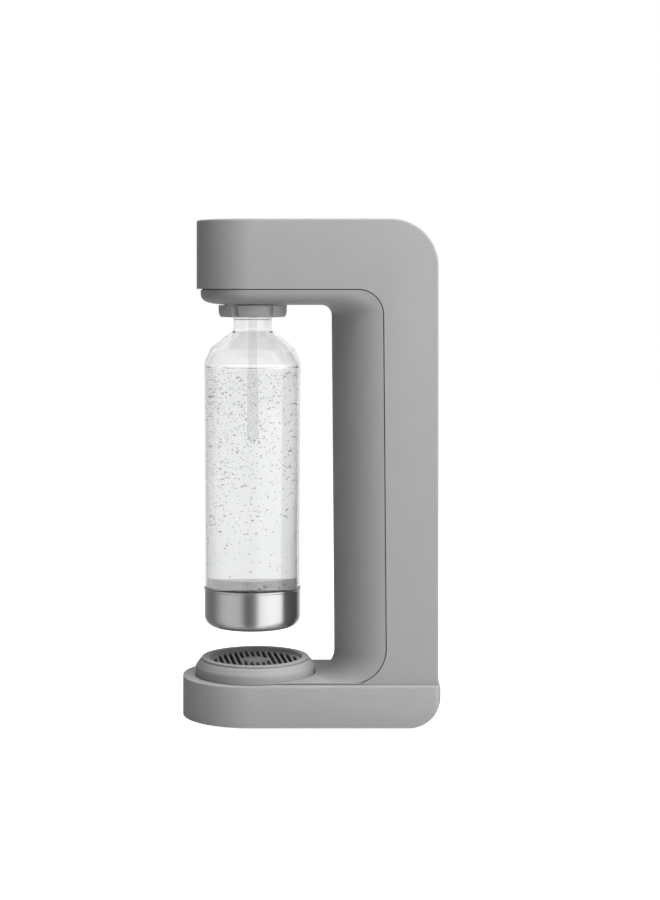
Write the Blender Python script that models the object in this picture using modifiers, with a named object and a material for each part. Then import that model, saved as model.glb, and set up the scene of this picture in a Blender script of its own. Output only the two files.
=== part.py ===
"""Countertop soda carbonator: a C-shaped machine with a press button on top of its head, a screw-in
bottle under it, a drip tray on its base and a gas cylinder in its column.

Metres, +Z up, front towards -Y, the part's left and right along X. The origin is on the surface that
the machine stands on, under the middle of its base. The bottle, collar and button share one upright
axis, the drip tray stands a little behind it, and the gas cylinder and its valve share an axis in the
column.
"""

import math

import bmesh
import bpy
from mathutils import Matrix, Vector

MM = 0.001
GAP = 0.3 * MM                       # between pieces that touch
WALL = 2.5 * MM                      # moulded casings

# Driving dimensions of the casing.
FOOT_HEIGHT = 1.5 * MM
BASE_HALF_WIDTH = 60.5 * MM
BASE_NOSE_RADIUS = 60.15 * MM
BASE_TOP = 35.1 * MM
BASE_REAR = 109.65 * MM
BASE_REAR_CORNER = 27.0 * MM         # lower rear corner, seen from the side
BODY_HALF_WIDTH = 48.5 * MM
BODY_REAR = 108.4 * MM
BODY_TOP = 427.0 * MM
BODY_TOP_CORNER = 40.0 * MM
SEAM_HEIGHT = 367.8 * MM             # lower edge of the outer shell under the head
SEAM_REAR = 62.6 * MM                # front edge of the outer shell along the column
SEAM_UPPER_RADIUS = 22.0 * MM
SEAM_LOWER_RADIUS = 30.0 * MM
HEAD_UNDERSIDE = 354.0 * MM
COLUMN_FRONT = 18.8 * MM
DECK_TOP = 37.0 * MM
DECK_FRONT = -24.4 * MM
HEAD_FILLET = 9.0 * MM
DECK_FILLET = 20.0 * MM

# The upright axes, and the lever that joins the tops of two of them.
BOTTLE_Y = -49.5 * MM
TRAY_Y = -47.3 * MM
CYLINDER_Y = 68.0 * MM
LEVER_PIVOT_Y = 92.0 * MM
LEVER_PIVOT_Z = 401.3 * MM
LEVER_HALF_HEIGHT = 3.0 * MM
LEVER_HALF_WIDTH = 7.0 * MM

# Bottle, tray and cylinder.
BOTTLE_RADIUS = 41.6 * MM
BOTTLE_BOTTOM = 76.9 * MM
CUP_TOP = 110.7 * MM
NECK_RADIUS = 16.0 * MM
NECK_TOP = 353.0 * MM
COLLAR_BOTTOM = 343.5 * MM
TRAY_RADIUS = 51.6 * MM
TRAY_TOP = 50.1 * MM
TRAY_MOUTH = 40.2 * MM
TRAY_RIM = 46.4 * MM
GRILLE_TOP = 47.2 * MM
CYLINDER_RADIUS = 30.0 * MM
CYLINDER_BOTTOM = 24.0 * MM
BUTTON_RADIUS = 33.0 * MM

# Rear cover and its hinge.
COVER_HALF_WIDTH = 35.6 * MM
COVER_BOTTOM = 43.2 * MM
COVER_TOP = 383.6 * MM
COVER_PIVOT_Y = 104.5 * MM
COVER_PIVOT_Z = 44.5 * MM

# Base, its plate, screws and feet.
BASE_BOTTOM = FOOT_HEIGHT
BASE_FLOOR = BASE_BOTTOM + WALL
BASE_REAR_EDGE = 6.0 * MM            # upright rear corners, seen from above
PLATE_INSET = 8.0 * MM
PLATE_REAR = 74.0 * MM
CYLINDER_HOLE = 33.0 * MM
BASE_SCREWS = [(x * MM, y * MM) for x in (-44, 44) for y in (-62, 62)]
BASE_BOSS_RADIUS = 4.5 * MM
PILOT_RADIUS = 1.9 * MM              # bores that the screws pass or bite into
FEET = [("front_left", -30, -84), ("front_right", 30, -84), ("rear_left", -38, 40), ("rear_right", 38, 40)]

# Liner, head frame and collar.
SHELL_REAR_EDGE = 5.0 * MM           # upright rear corners, seen from above
LINER_POSTS = [(x * MM, y * MM) for x in (-36, 36) for y in (-36, 4)]
LINER_ACROSS = 16                    # strips across the liner from side to side
HEAD_ROUNDNESS = 5.0                 # superellipse powers of the liner's section
COLUMN_ROUNDNESS = 2.0
NOZZLE_OPENING = 20.0 * MM
FRAME_BOTTOM = 362.0 * MM
FRAME_TOP = 365.0 * MM
COLLAR_SCREWS = [BOTTLE_Y - 23 * MM, BOTTLE_Y + 23 * MM]
COLLAR_NOTCHES = 6
NOTCH_RADIUS = 3.0 * MM
NOTCH_REACH = 29.8 * MM
NOTCH_TOP = 351.0 * MM

# Button, lever and hose.
GUIDE_FLOOR = 408.0 * MM
LEVER_TOP = LEVER_PIVOT_Z + LEVER_HALF_HEIGHT
LEVER_PIN_RADIUS = 2.5 * MM
HOSE_HIGH = 378.0 * MM
HOSE_LOW = 370.0 * MM
HOSE_RADIUS = 2.6 * MM
PORT_RADIUS = 4.5 * MM
MANIFOLD_PORT_Y = BOTTLE_Y + 17 * MM
VALVE_BLOCK_TOP = 393.6 * MM
VALVE_BLOCK_RADIUS = 16.0 * MM
MANIFOLD_FLANGE_TOP = 361.0 * MM
SEAL_SEAT = 356.0 * MM
TUBE_RADIUS = 3.5 * MM
TUBE_END = 246.0 * MM
RELIEF_X = 19.0 * MM

# Gas cylinder.
CYLINDER_SHOULDER = 306.0 * MM
CYLINDER_DOME = 34.0 * MM
CYLINDER_WALL = 2.4 * MM
CYLINDER_NECK = 13.0 * MM
CYLINDER_MOUTH = 8.4 * MM
CYLINDER_TOP = 352.0 * MM
VALVE_TOP = 386.0 * MM

# Bottle and grille.
BOTTLE_WALL = 1.3 * MM
NECK_WALL = 1.8 * MM
BOTTLE_LOWER_RADIUS = 40.3 * MM      # the body's lower end, inside the steel cup
CUP_WALL = 0.8 * MM
GRILLE_SLOTS = 15
SLOT_PITCH = 4.9 * MM
SLOT_WIDTH = 3.0 * MM
SLOT_REACH = 37.0 * MM
GRILLE_BOSS = 10.0 * MM
GRILLE_TURN = 8.0                    # degrees, as it happens to lie

FINE = 24                            # sides of the large round pieces
PLAIN = 16                           # sides of the small round pieces
CUT_REACH = 10 * MM                  # how far a cutter runs past what it cuts


def new_collection(name):
    """A collection linked to the scene."""
    group = bpy.data.collections.new(name)
    bpy.context.scene.collection.children.link(group)
    return group


for old in list(bpy.data.objects):
    bpy.data.objects.remove(old, do_unlink=True)
PARTS = new_collection("soda_carbonator")
CUTTERS = new_collection("cutters")


def finish(name, colour, roughness, metallic=0.0, alpha=1.0):
    """A plain Principled material."""
    made = bpy.data.materials.new(name)
    made.use_nodes = True
    shader = made.node_tree.nodes["Principled BSDF"]
    shader.inputs["Base Color"].default_value = (*colour, 1.0)
    shader.inputs["Roughness"].default_value = roughness
    shader.inputs["Metallic"].default_value = metallic
    shader.inputs["Alpha"].default_value = alpha
    return made


SHELL_GREY = finish("shell_grey", (0.33, 0.33, 0.33), 0.50)
LINER_GREY = finish("liner_grey", (0.30, 0.30, 0.30), 0.52)
COLLAR_GREY = finish("collar_grey", (0.20, 0.20, 0.20), 0.50)
DARK_PLASTIC = finish("dark_plastic", (0.05, 0.05, 0.05), 0.55)
FRAME_GREY = finish("frame_grey", (0.16, 0.17, 0.18), 0.60)
RUBBER = finish("rubber", (0.02, 0.02, 0.02), 0.80)
STEEL = finish("steel", (0.62, 0.62, 0.61), 0.32, 1.0)
BRASS = finish("brass", (0.72, 0.55, 0.28), 0.35, 1.0)
CYLINDER_PAINT = finish("cylinder_paint", (0.55, 0.57, 0.60), 0.35)
CLEAR_PET = finish("clear_pet", (0.90, 0.92, 0.93), 0.05, 0.0, 0.35)
WHITE_HOSE = finish("white_hose", (0.75, 0.76, 0.76), 0.45)


def place(mesh, name, coat, group=PARTS):
    """Put a mesh in the scene as one named piece."""
    piece = bpy.data.objects.new(name, mesh)
    group.objects.link(piece)
    mesh.materials.append(coat)
    return piece


def as_cutter(piece):
    """Hide a piece that only shapes another one."""
    for group in list(piece.users_collection):
        group.objects.unlink(piece)
    CUTTERS.objects.link(piece)
    piece.hide_render = True
    piece.display_type = 'WIRE'
    return piece


def combine(piece, tool, operation='DIFFERENCE'):
    """Add one Boolean step to a piece."""
    step = piece.modifiers.new(operation.lower(), 'BOOLEAN')
    step.operation = operation
    step.solver = 'EXACT'
    step.object = as_cutter(tool)
    return piece


def box(name, low, high, coat=DARK_PLASTIC):
    """A block between two corners."""
    size = [b - a for a, b in zip(low, high)]
    middle = [(a + b) / 2 for a, b in zip(low, high)]
    bm = bmesh.new()
    bmesh.ops.create_cube(bm, size=1.0)
    bmesh.ops.transform(bm, matrix=Matrix.Diagonal((*size, 1.0)), verts=bm.verts)
    mesh = bpy.data.meshes.new(name)
    bm.to_mesh(mesh)
    bm.free()
    piece = place(mesh, name, coat)
    piece.location = middle
    return piece


def rod(name, radius, start, end, coat=STEEL, sides=PLAIN):
    """A straight round bar between two points."""
    start = Vector(start)
    end = Vector(end)
    bm = bmesh.new()
    bmesh.ops.create_cone(bm, cap_ends=True, segments=sides, radius1=radius, radius2=radius,
                          depth=(end - start).length)
    mesh = bpy.data.meshes.new(name)
    bm.to_mesh(mesh)
    bm.free()
    piece = place(mesh, name, coat)
    piece.rotation_euler = (end - start).to_track_quat('Z', 'Y').to_euler()
    piece.location = (start + end) / 2
    return piece


def turned(name, profile, coat, at=(0.0, 0.0), sides=PLAIN, ring=False):
    """Spin a profile of (radius, height) round a vertical axis. It runs from the top of the axis out,
    down the outer side and back in; a ring's profile closes on itself away from the axis."""
    count = len(profile)
    edges = [(i, i + 1) for i in range(count - 1)]
    if ring:
        edges.append((count - 1, 0))
    mesh = bpy.data.meshes.new(name)
    mesh.from_pydata([(r, 0.0, z) for r, z in profile], edges, [])
    piece = place(mesh, name, coat)
    piece.location = (at[0], at[1], 0.0)
    spin = piece.modifiers.new("spin", 'SCREW')
    spin.axis = 'Z'
    spin.angle = 2 * math.pi
    spin.steps = sides
    spin.render_steps = sides
    spin.use_merge_vertices = True
    spin.merge_threshold = 0.00002
    spin.use_smooth_shade = True
    return piece


def ring(name, inner, outer, bottom, top, coat, at=(0.0, 0.0), sides=PLAIN):
    """A plain washer."""
    profile = [(inner, top), (outer, top), (outer, bottom), (inner, bottom)]
    return turned(name, profile, coat, at, sides, ring=True)


def arc(centre, radius, start, end, steps):
    """Points on an arc, angles in degrees, both ends included."""
    angles = [math.radians(start + (end - start) * i / steps) for i in range(steps + 1)]
    return [(centre[0] + radius * math.cos(a), centre[1] + radius * math.sin(a)) for a in angles]


def outline_solid(name, outline, low, high, coat, along='Z'):
    """Extrude a flat outline from low to high, along Z from an (x, y) outline or along X from a
    (y, z) one."""
    curve = bpy.data.curves.new(name, 'CURVE')
    curve.dimensions = '2D'
    curve.fill_mode = 'BOTH'
    curve.extrude = (high - low) / 2
    spline = curve.splines.new('POLY')
    spline.points.add(len(outline) - 1)
    for point, (a, b) in zip(spline.points, outline):
        point.co = (a, b, 0.0, 1.0)
    spline.use_cyclic_u = True
    guide = bpy.data.objects.new(f"{name}_guide", curve)
    PARTS.objects.link(guide)
    if along == 'X':
        turn = Matrix(((0, 0, 1, 0), (1, 0, 0, 0), (0, 1, 0, 0), (0, 0, 0, 1)))
        guide.matrix_world = Matrix.Translation(((low + high) / 2, 0, 0)) @ turn
    else:
        guide.matrix_world = Matrix.Translation((0, 0, (low + high) / 2))
    return curve_to_mesh(guide, name, coat)


def curve_to_mesh(guide, name, coat):
    """Swap a curve object for a closed mesh of the same shape."""
    bpy.context.view_layer.update()
    graph = bpy.context.evaluated_depsgraph_get()
    mesh = bpy.data.meshes.new_from_object(guide.evaluated_get(graph))
    mesh.materials.clear()
    bm = bmesh.new()
    bm.from_mesh(mesh)
    bmesh.ops.remove_doubles(bm, verts=bm.verts, dist=0.000001)
    bmesh.ops.recalc_face_normals(bm, faces=bm.faces)
    bm.to_mesh(mesh)
    bm.free()
    piece = place(mesh, name, coat)
    piece.matrix_world = guide.matrix_world
    bpy.data.objects.remove(guide, do_unlink=True)
    return piece


def wire(name, points, radius, coat, resolution=2):
    """A round wire or hose through points."""
    curve = bpy.data.curves.new(name, 'CURVE')
    curve.dimensions = '3D'
    curve.bevel_depth = radius
    curve.bevel_resolution = resolution
    curve.use_fill_caps = True
    spline = curve.splines.new('POLY')
    spline.points.add(len(points) - 1)
    for point, place_at in zip(spline.points, points):
        point.co = (*place_at, 1.0)
    guide = bpy.data.objects.new(f"{name}_guide", curve)
    PARTS.objects.link(guide)
    return curve_to_mesh(guide, name, coat)


def coil_spring(name, radius, wire_radius, low, high, turns, coat, at=(0.0, 0.0)):
    """A compression spring between two heights."""
    per_turn = 8
    bottom = low + wire_radius
    rise = high - low - 2 * wire_radius
    points = []
    for i in range(turns * per_turn + 1):
        angle = 2 * math.pi * i / per_turn
        height = bottom + rise * i / (turns * per_turn)
        points.append((at[0] + radius * math.cos(angle), at[1] + radius * math.sin(angle), height))
    return wire(name, points, wire_radius, coat, resolution=1)


def soften(piece, width, segments=2, angle=50.0):
    """Round the sharp edges of a piece."""
    bevel = piece.modifiers.new("edge", 'BEVEL')
    bevel.width = width
    bevel.segments = segments
    bevel.limit_method = 'ANGLE'
    bevel.angle_limit = math.radians(angle)
    bevel.use_clamp_overlap = True
    return piece


def plan_outline(half_width, nose_radius, rear, rear_corner):
    """A casing seen from above: a round nose on the bottle axis, straight sides and a square rear."""
    points = arc((0.0, BOTTLE_Y), nose_radius, 180, 360, 16)
    points = [(x * half_width / nose_radius, y) for x, y in points]
    points += arc((half_width - rear_corner, rear - rear_corner), rear_corner, 0, 90, 3)
    points += arc((rear_corner - half_width, rear - rear_corner), rear_corner, 90, 180, 3)
    return points


# ---- Base -------------------------------------------------------------------------------------


def base_side(rear, bottom, top, corner):
    """The base seen from the side, with its rounded lower rear corner."""
    points = [(-0.15, top), (-0.15, bottom)]
    points += arc((rear - corner, bottom + corner), corner, -90, 0, 8)
    points.append((rear, top))
    return points


def make_base():
    """The base housing, its plate, screws and feet, and the cradle that the cylinder stands in."""
    housing = outline_solid("base_housing", plan_outline(BASE_HALF_WIDTH, BASE_NOSE_RADIUS, BASE_REAR,
                                                         BASE_REAR_EDGE), BASE_BOTTOM, BASE_TOP, SHELL_GREY)
    soften(housing, 1.0 * MM, 1)
    combine(housing, outline_solid("base_side_form", base_side(BASE_REAR, BASE_BOTTOM, BASE_TOP + CUT_REACH,
                                                               BASE_REAR_CORNER),
                                   -0.08, 0.08, SHELL_GREY, 'X'), 'INTERSECT')
    inner = outline_solid("base_hollow", plan_outline(BASE_HALF_WIDTH - WALL, BASE_NOSE_RADIUS - WALL,
                                                      BASE_REAR - WALL, 3.5 * MM),
                          BASE_BOTTOM - CUT_REACH, BASE_TOP - WALL, SHELL_GREY)
    combine(inner, outline_solid("base_hollow_side", base_side(BASE_REAR - WALL, BASE_FLOOR, BASE_TOP,
                                                               BASE_REAR_CORNER - WALL),
                                 -0.07, 0.07, SHELL_GREY, 'X'), 'INTERSECT')
    combine(housing, inner)
    plate_plan = plan_outline(BASE_HALF_WIDTH - PLATE_INSET, BASE_NOSE_RADIUS - PLATE_INSET, PLATE_REAR,
                              4 * MM)
    combine(housing, outline_solid("plate_opening", plate_plan, -CUT_REACH, BASE_FLOOR + 1 * MM,
                                   SHELL_GREY))
    combine(housing, rod("cylinder_opening", CYLINDER_HOLE, (0, CYLINDER_Y, 0.02), (0, CYLINDER_Y, 0.06),
                         sides=FINE))
    for i, (x, y) in enumerate(BASE_SCREWS):
        combine(housing, rod(f"base_boss_{i}", BASE_BOSS_RADIUS, (x, y, BASE_FLOOR + GAP),
                             (x, y, BASE_TOP - WALL / 2)), 'UNION')
        combine(housing, rod(f"base_boss_bore_{i}", PILOT_RADIUS, (x, y, 0), (x, y, 18 * MM), sides=8))

    inset = PLATE_INSET + GAP
    plate = outline_solid("base_plate", plan_outline(BASE_HALF_WIDTH - inset, BASE_NOSE_RADIUS - inset,
                                                     PLATE_REAR - GAP, 4 * MM),
                          BASE_BOTTOM, BASE_FLOOR, DARK_PLASTIC)
    for i, (x, y) in enumerate(BASE_SCREWS):
        combine(plate, rod(f"plate_hole_{i}", PILOT_RADIUS, (x, y, 0), (x, y, 18 * MM), sides=8))
        combine(plate, rod(f"plate_recess_{i}", 3.6 * MM, (x, y, 0), (x, y, BASE_BOTTOM + 1.2 * MM),
                           sides=8))
        screw(f"base_screw_{i + 1}", (x, y), BASE_BOTTOM + 1.2 * MM - GAP, -1, 12 * MM, 0.9 * MM)
    for name, x, y in FEET:
        turned(f"foot_{name}", [(0, 1.2 * MM), (7.6 * MM, 1.2 * MM), (8 * MM, 0.8 * MM),
                                (7 * MM, 0), (0, 0)],
               RUBBER, (x * MM, y * MM), 16)

    turned("cylinder_cradle", [(0, CYLINDER_BOTTOM - GAP), (30.5 * MM, CYLINDER_BOTTOM - GAP),
                               (30.6 * MM, 43.0 * MM), (31.4 * MM, 44.0 * MM), (32.4 * MM, 44.0 * MM),
                               (32.4 * MM, 18 * MM), (15 * MM, 18 * MM), (15 * MM, BASE_FLOOR + 2 * GAP),
                               (0, BASE_FLOOR + 2 * GAP)], FRAME_GREY, (0, CYLINDER_Y), FINE)


def screw(name, at, seat, facing, length, head_height=1.8 * MM, shank=1.5 * MM, head=2.9 * MM):
    """A pan-head screw whose head sits at a height and faces up (+1) or down (-1)."""
    far = seat + facing * head_height
    tip = seat - facing * length
    profile = [(0, far), (head * 0.8, far), (head, seat + facing * head_height * 0.5), (head, seat),
               (shank, seat), (shank, tip + facing * 1 * MM), (0, tip)]
    if facing < 0:
        profile.reverse()
    return turned(name, profile, STEEL, at, 8)


# ---- Casing -----------------------------------------------------------------------------------

def seam_line(inset):
    """The seam between outer shell and liner seen from the side, from the nose back along the head and
    down the column to the deck, moved towards the liner by the inset."""
    upper = (SEAM_REAR - SEAM_UPPER_RADIUS, SEAM_HEIGHT - SEAM_UPPER_RADIUS)
    foot = BASE_TOP + GAP
    lower = (SEAM_REAR - SEAM_LOWER_RADIUS, foot + SEAM_LOWER_RADIUS)
    lower_end = -math.degrees(math.asin((lower[1] - DECK_TOP) / (SEAM_LOWER_RADIUS - inset)))
    points = [(-0.15, SEAM_HEIGHT - inset)]
    points += arc(upper, SEAM_UPPER_RADIUS - inset, 90, 0, 6)
    points += arc(lower, SEAM_LOWER_RADIUS - inset, 0, lower_end, 7)
    points.append((points[-1][0], foot))
    return points


def shell_side():
    """The outer shell seen from the side: head, upper rear corner and the rear of the column."""
    points = seam_line(0.0)
    points.append((BODY_REAR, BASE_TOP + GAP))
    points += arc((BODY_REAR - BODY_TOP_CORNER, BODY_TOP - BODY_TOP_CORNER), BODY_TOP_CORNER, 0, 90, 8)
    points.append((-0.15, BODY_TOP))
    return points


def hollow_side():
    """The hollow of the outer shell seen from the side, open past its front and lower edges."""
    radius = BODY_TOP_CORNER - WALL
    centre = (BODY_REAR - BODY_TOP_CORNER, BODY_TOP - BODY_TOP_CORNER)
    points = [(-0.15, SEAM_HEIGHT - 0.01), (0.01, SEAM_HEIGHT - 0.01), (0.01, 0.01),
              (BODY_REAR - WALL, 0.01)]
    points += arc(centre, radius, 0, 90, 8)
    points.append((-0.15, BODY_TOP - WALL))
    return points


def make_outer_shell():
    """The casing's outer moulding, with its button and cover openings and the cover's hinge lugs."""
    plan = plan_outline(BODY_HALF_WIDTH, BODY_HALF_WIDTH, BODY_REAR, SHELL_REAR_EDGE)
    shell = outline_solid("outer_shell", plan, 0.02, BODY_TOP, SHELL_GREY)
    soften(shell, 1.6 * MM)
    combine(shell, outline_solid("shell_side_form", shell_side(), -0.06, 0.06, SHELL_GREY, 'X'),
            'INTERSECT')
    half = BODY_HALF_WIDTH - WALL
    inner = outline_solid("shell_hollow", plan_outline(half, half, BODY_REAR - WALL, 2.5 * MM), 0.0, 0.45,
                          SHELL_GREY)
    combine(inner, outline_solid("shell_hollow_side", hollow_side(), -0.055, 0.055, SHELL_GREY, 'X'),
            'INTERSECT')
    combine(shell, inner)
    for side in (-1, 1):
        lug = box("hinge_lug", (side * 38 * MM - 2 * MM, 101 * MM, 41 * MM),
                  (side * 38 * MM + 2 * MM, BODY_REAR - 1 * MM, 48 * MM))
        combine(shell, lug, 'UNION')
    combine(shell, rod("hinge_lug_bore", 1.3 * MM, (-0.041, COVER_PIVOT_Y, COVER_PIVOT_Z),
                       (0.041, COVER_PIVOT_Y, COVER_PIVOT_Z), sides=8))
    edge = COVER_HALF_WIDTH + 0.4 * MM
    combine(shell, box("cover_opening", (-edge, BODY_REAR - WALL - 0.2 * MM, COVER_BOTTOM - 1.2 * MM),
                       (edge, BODY_REAR + CUT_REACH, COVER_TOP + 0.4 * MM)))
    combine(shell, rod("button_opening", BUTTON_RADIUS + 3.3 * MM, (0, BOTTLE_Y, BODY_TOP - 0.02),
                       (0, BOTTLE_Y, BODY_TOP + 0.02), sides=FINE))


def liner_rows():
    """The liner's run as (seam point, crown point, roundness), each point (y, z): back along the head,
    round the upper corner, down the column and out onto the deck."""
    seam_top = SEAM_HEIGHT - GAP
    upper = (SEAM_REAR - SEAM_UPPER_RADIUS, SEAM_HEIGHT - SEAM_UPPER_RADIUS)
    lower = (SEAM_REAR - SEAM_LOWER_RADIUS, BASE_TOP + GAP + SEAM_LOWER_RADIUS)
    floor = DECK_TOP - GAP
    rows = [((BOTTLE_Y, seam_top), (BOTTLE_Y, HEAD_UNDERSIDE), HEAD_ROUNDNESS)]
    steps = 6
    seam = arc(upper, SEAM_UPPER_RADIUS - GAP, 90, 0, steps)
    crown = arc((COLUMN_FRONT - HEAD_FILLET, HEAD_UNDERSIDE - HEAD_FILLET), HEAD_FILLET, 90, 0, steps)
    for i in range(steps + 1):
        ease = i / steps
        power = HEAD_ROUNDNESS + (COLUMN_ROUNDNESS - HEAD_ROUNDNESS) * ease
        rows.append((seam[i], crown[i], power))
    steps = 7
    seam_end = -math.degrees(math.asin((lower[1] - floor) / (SEAM_LOWER_RADIUS - GAP)))
    seam = arc(lower, SEAM_LOWER_RADIUS - GAP, 0, seam_end, steps)
    crown = arc((COLUMN_FRONT - DECK_FILLET, floor + DECK_FILLET), DECK_FILLET, 0, -90, steps)
    for i in range(steps + 1):
        rows.append((seam[i], crown[i], COLUMN_ROUNDNESS))
    return rows


def section(power, count):
    """Half of a superellipse as (across, depth), both from 0 to 1, from the side to the crown."""
    points = []
    for i in range(count + 1):
        angle = math.pi / 2 * i / count
        across = math.cos(angle) ** (2 / power)
        depth = math.sin(angle) ** (2 / power)
        points.append((across, depth))
    return points


def liner_skin():
    """The liner's visible surface, open along the seam: rows across its run, and a turned nose."""
    half = LINER_ACROSS // 2
    bm = bmesh.new()
    rows = []
    for seam, crown, power in liner_rows():
        side = section(power, half)
        row = []
        for across, depth in side + [(-a, d) for a, d in side[-2::-1]]:
            y = seam[0] + (crown[0] - seam[0]) * depth
            z = seam[1] + (crown[1] - seam[1]) * depth
            row.append(bm.verts.new((BODY_HALF_WIDTH * across, y, z)))
        rows.append(row)
    for upper, lower in zip(rows, rows[1:]):
        for i in range(LINER_ACROSS):
            bm.faces.new((upper[i], upper[i + 1], lower[i + 1], lower[i]))
    top = SEAM_HEIGHT - GAP
    profile = section(HEAD_ROUNDNESS, half)
    turns = 14
    spokes = [rows[0][:half + 1]]
    for k in range(1, turns):
        angle = -math.pi * k / turns
        spoke = []
        for across, depth in profile[:-1]:
            reach = BODY_HALF_WIDTH * across
            spoke.append(bm.verts.new((reach * math.cos(angle), BOTTLE_Y + reach * math.sin(angle),
                                       top + (HEAD_UNDERSIDE - top) * depth)))
        spokes.append(spoke + [rows[0][half]])
    spokes.append(rows[0][:half - 1:-1])
    for one, two in zip(spokes, spokes[1:]):
        for i in range(half - 1):
            bm.faces.new((one[i], one[i + 1], two[i + 1], two[i]))
        bm.faces.new((one[half - 1], one[half], two[half - 1]))
    bmesh.ops.recalc_face_normals(bm, faces=bm.faces)
    lowest = min(bm.faces, key=lambda face: (face.calc_center_median() - Vector((0, -0.03, 0.354))).length)
    if lowest.normal.z > 0:
        bmesh.ops.reverse_faces(bm, faces=bm.faces)
    mesh = bpy.data.meshes.new("inner_liner")
    bm.to_mesh(mesh)
    bm.free()
    return place(mesh, "inner_liner", LINER_GREY)


def make_inner_liner():
    """The liner with its deck, posts and openings, and the screws that hold it to the frame."""
    liner = liner_skin()
    wall = liner.modifiers.new("wall", 'SOLIDIFY')
    wall.thickness = WALL
    wall.offset = -1.0
    wall.use_even_offset = True
    foot = BASE_TOP + GAP
    behind = seam_line(GAP)
    deck_rear = behind[-1][0]
    behind += [(0.15, foot), (0.15, 0.45), (-0.15, 0.45)]
    combine(liner, outline_solid("liner_seam_trim", behind, -0.06, 0.06, LINER_GREY, 'X'))
    combine(liner, box("liner_foot_trim", (-0.1, -0.1, 0.0), (0.1, 0.1, foot)))
    combine(liner, box("liner_deck", (-BODY_HALF_WIDTH, DECK_FRONT, foot),
                       (BODY_HALF_WIDTH, deck_rear, DECK_TOP)), 'UNION')
    combine(liner, rod("deck_tray_cut", TRAY_RADIUS + 0.6 * MM, (0, TRAY_Y, 0.02), (0, TRAY_Y, 0.06),
                       sides=FINE))
    combine(liner, rod("deck_cylinder_cut", CYLINDER_HOLE, (0, CYLINDER_Y, 0.02),
                       (0, CYLINDER_Y, 0.06), sides=FINE))
    for i, (x, y) in enumerate(LINER_POSTS):
        combine(liner, rod(f"liner_post_{i}", 4 * MM, (x, y, HEAD_UNDERSIDE + 1.8 * MM),
                           (x, y, FRAME_BOTTOM - GAP), sides=8), 'UNION')
        combine(liner, rod(f"liner_post_bore_{i}", 1.8 * MM, (x, y, HEAD_UNDERSIDE + 3.5 * MM),
                           (x, y, 0.37), sides=8))
        screw(f"head_screw_{i + 1}", (x, y), FRAME_TOP + GAP, 1, 6 * MM)
    combine(liner, rod("nozzle_opening", NOZZLE_OPENING, (0, BOTTLE_Y, 0.34), (0, BOTTLE_Y, 0.37),
                       sides=FINE))
    for i, y in enumerate(COLLAR_SCREWS):
        combine(liner, rod(f"liner_collar_hole_{i}", 1.8 * MM, (0, y, 0.34), (0, y, 0.37), sides=8))


# ---- Press button, lever and valve in the head ------------------------------------------------


def make_button():
    """The press button, the ring that guides it and its spring."""
    guide_wall = BUTTON_RADIUS + 0.4 * MM
    guide_rim = BUTTON_RADIUS + 3.0 * MM
    turned("button_guide", [(guide_wall, BODY_TOP), (guide_rim - 0.4 * MM, BODY_TOP),
                            (guide_rim, BODY_TOP - 0.4 * MM), (guide_rim, GUIDE_FLOOR - 2 * MM),
                            (6.5 * MM, GUIDE_FLOOR - 2 * MM), (6.5 * MM, GUIDE_FLOOR),
                            (guide_wall, GUIDE_FLOOR)],
           COLLAR_GREY, (0, BOTTLE_Y), FINE, ring=True)
    top = BODY_TOP - GAP
    turned("push_button", [(0, top - 0.6 * MM), (26 * MM, top - 0.3 * MM), (BUTTON_RADIUS - 1.2 * MM, top),
                           (BUTTON_RADIUS, top - 1 * MM), (BUTTON_RADIUS, top - 9.7 * MM),
                           (BUTTON_RADIUS - 2 * MM, top - 9.7 * MM), (BUTTON_RADIUS - 2 * MM, top - 3 * MM),
                           (6 * MM, top - 3 * MM), (6 * MM, LEVER_TOP + 1.3 * MM),
                           (5 * MM, LEVER_TOP + GAP), (0, LEVER_TOP + GAP)],
           SHELL_GREY, (0, BOTTLE_Y), FINE)
    coil_spring("button_spring", 11 * MM, 0.8 * MM, GUIDE_FLOOR + GAP, top - 3 * MM - GAP, 3, STEEL,
                (0, BOTTLE_Y))


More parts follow.
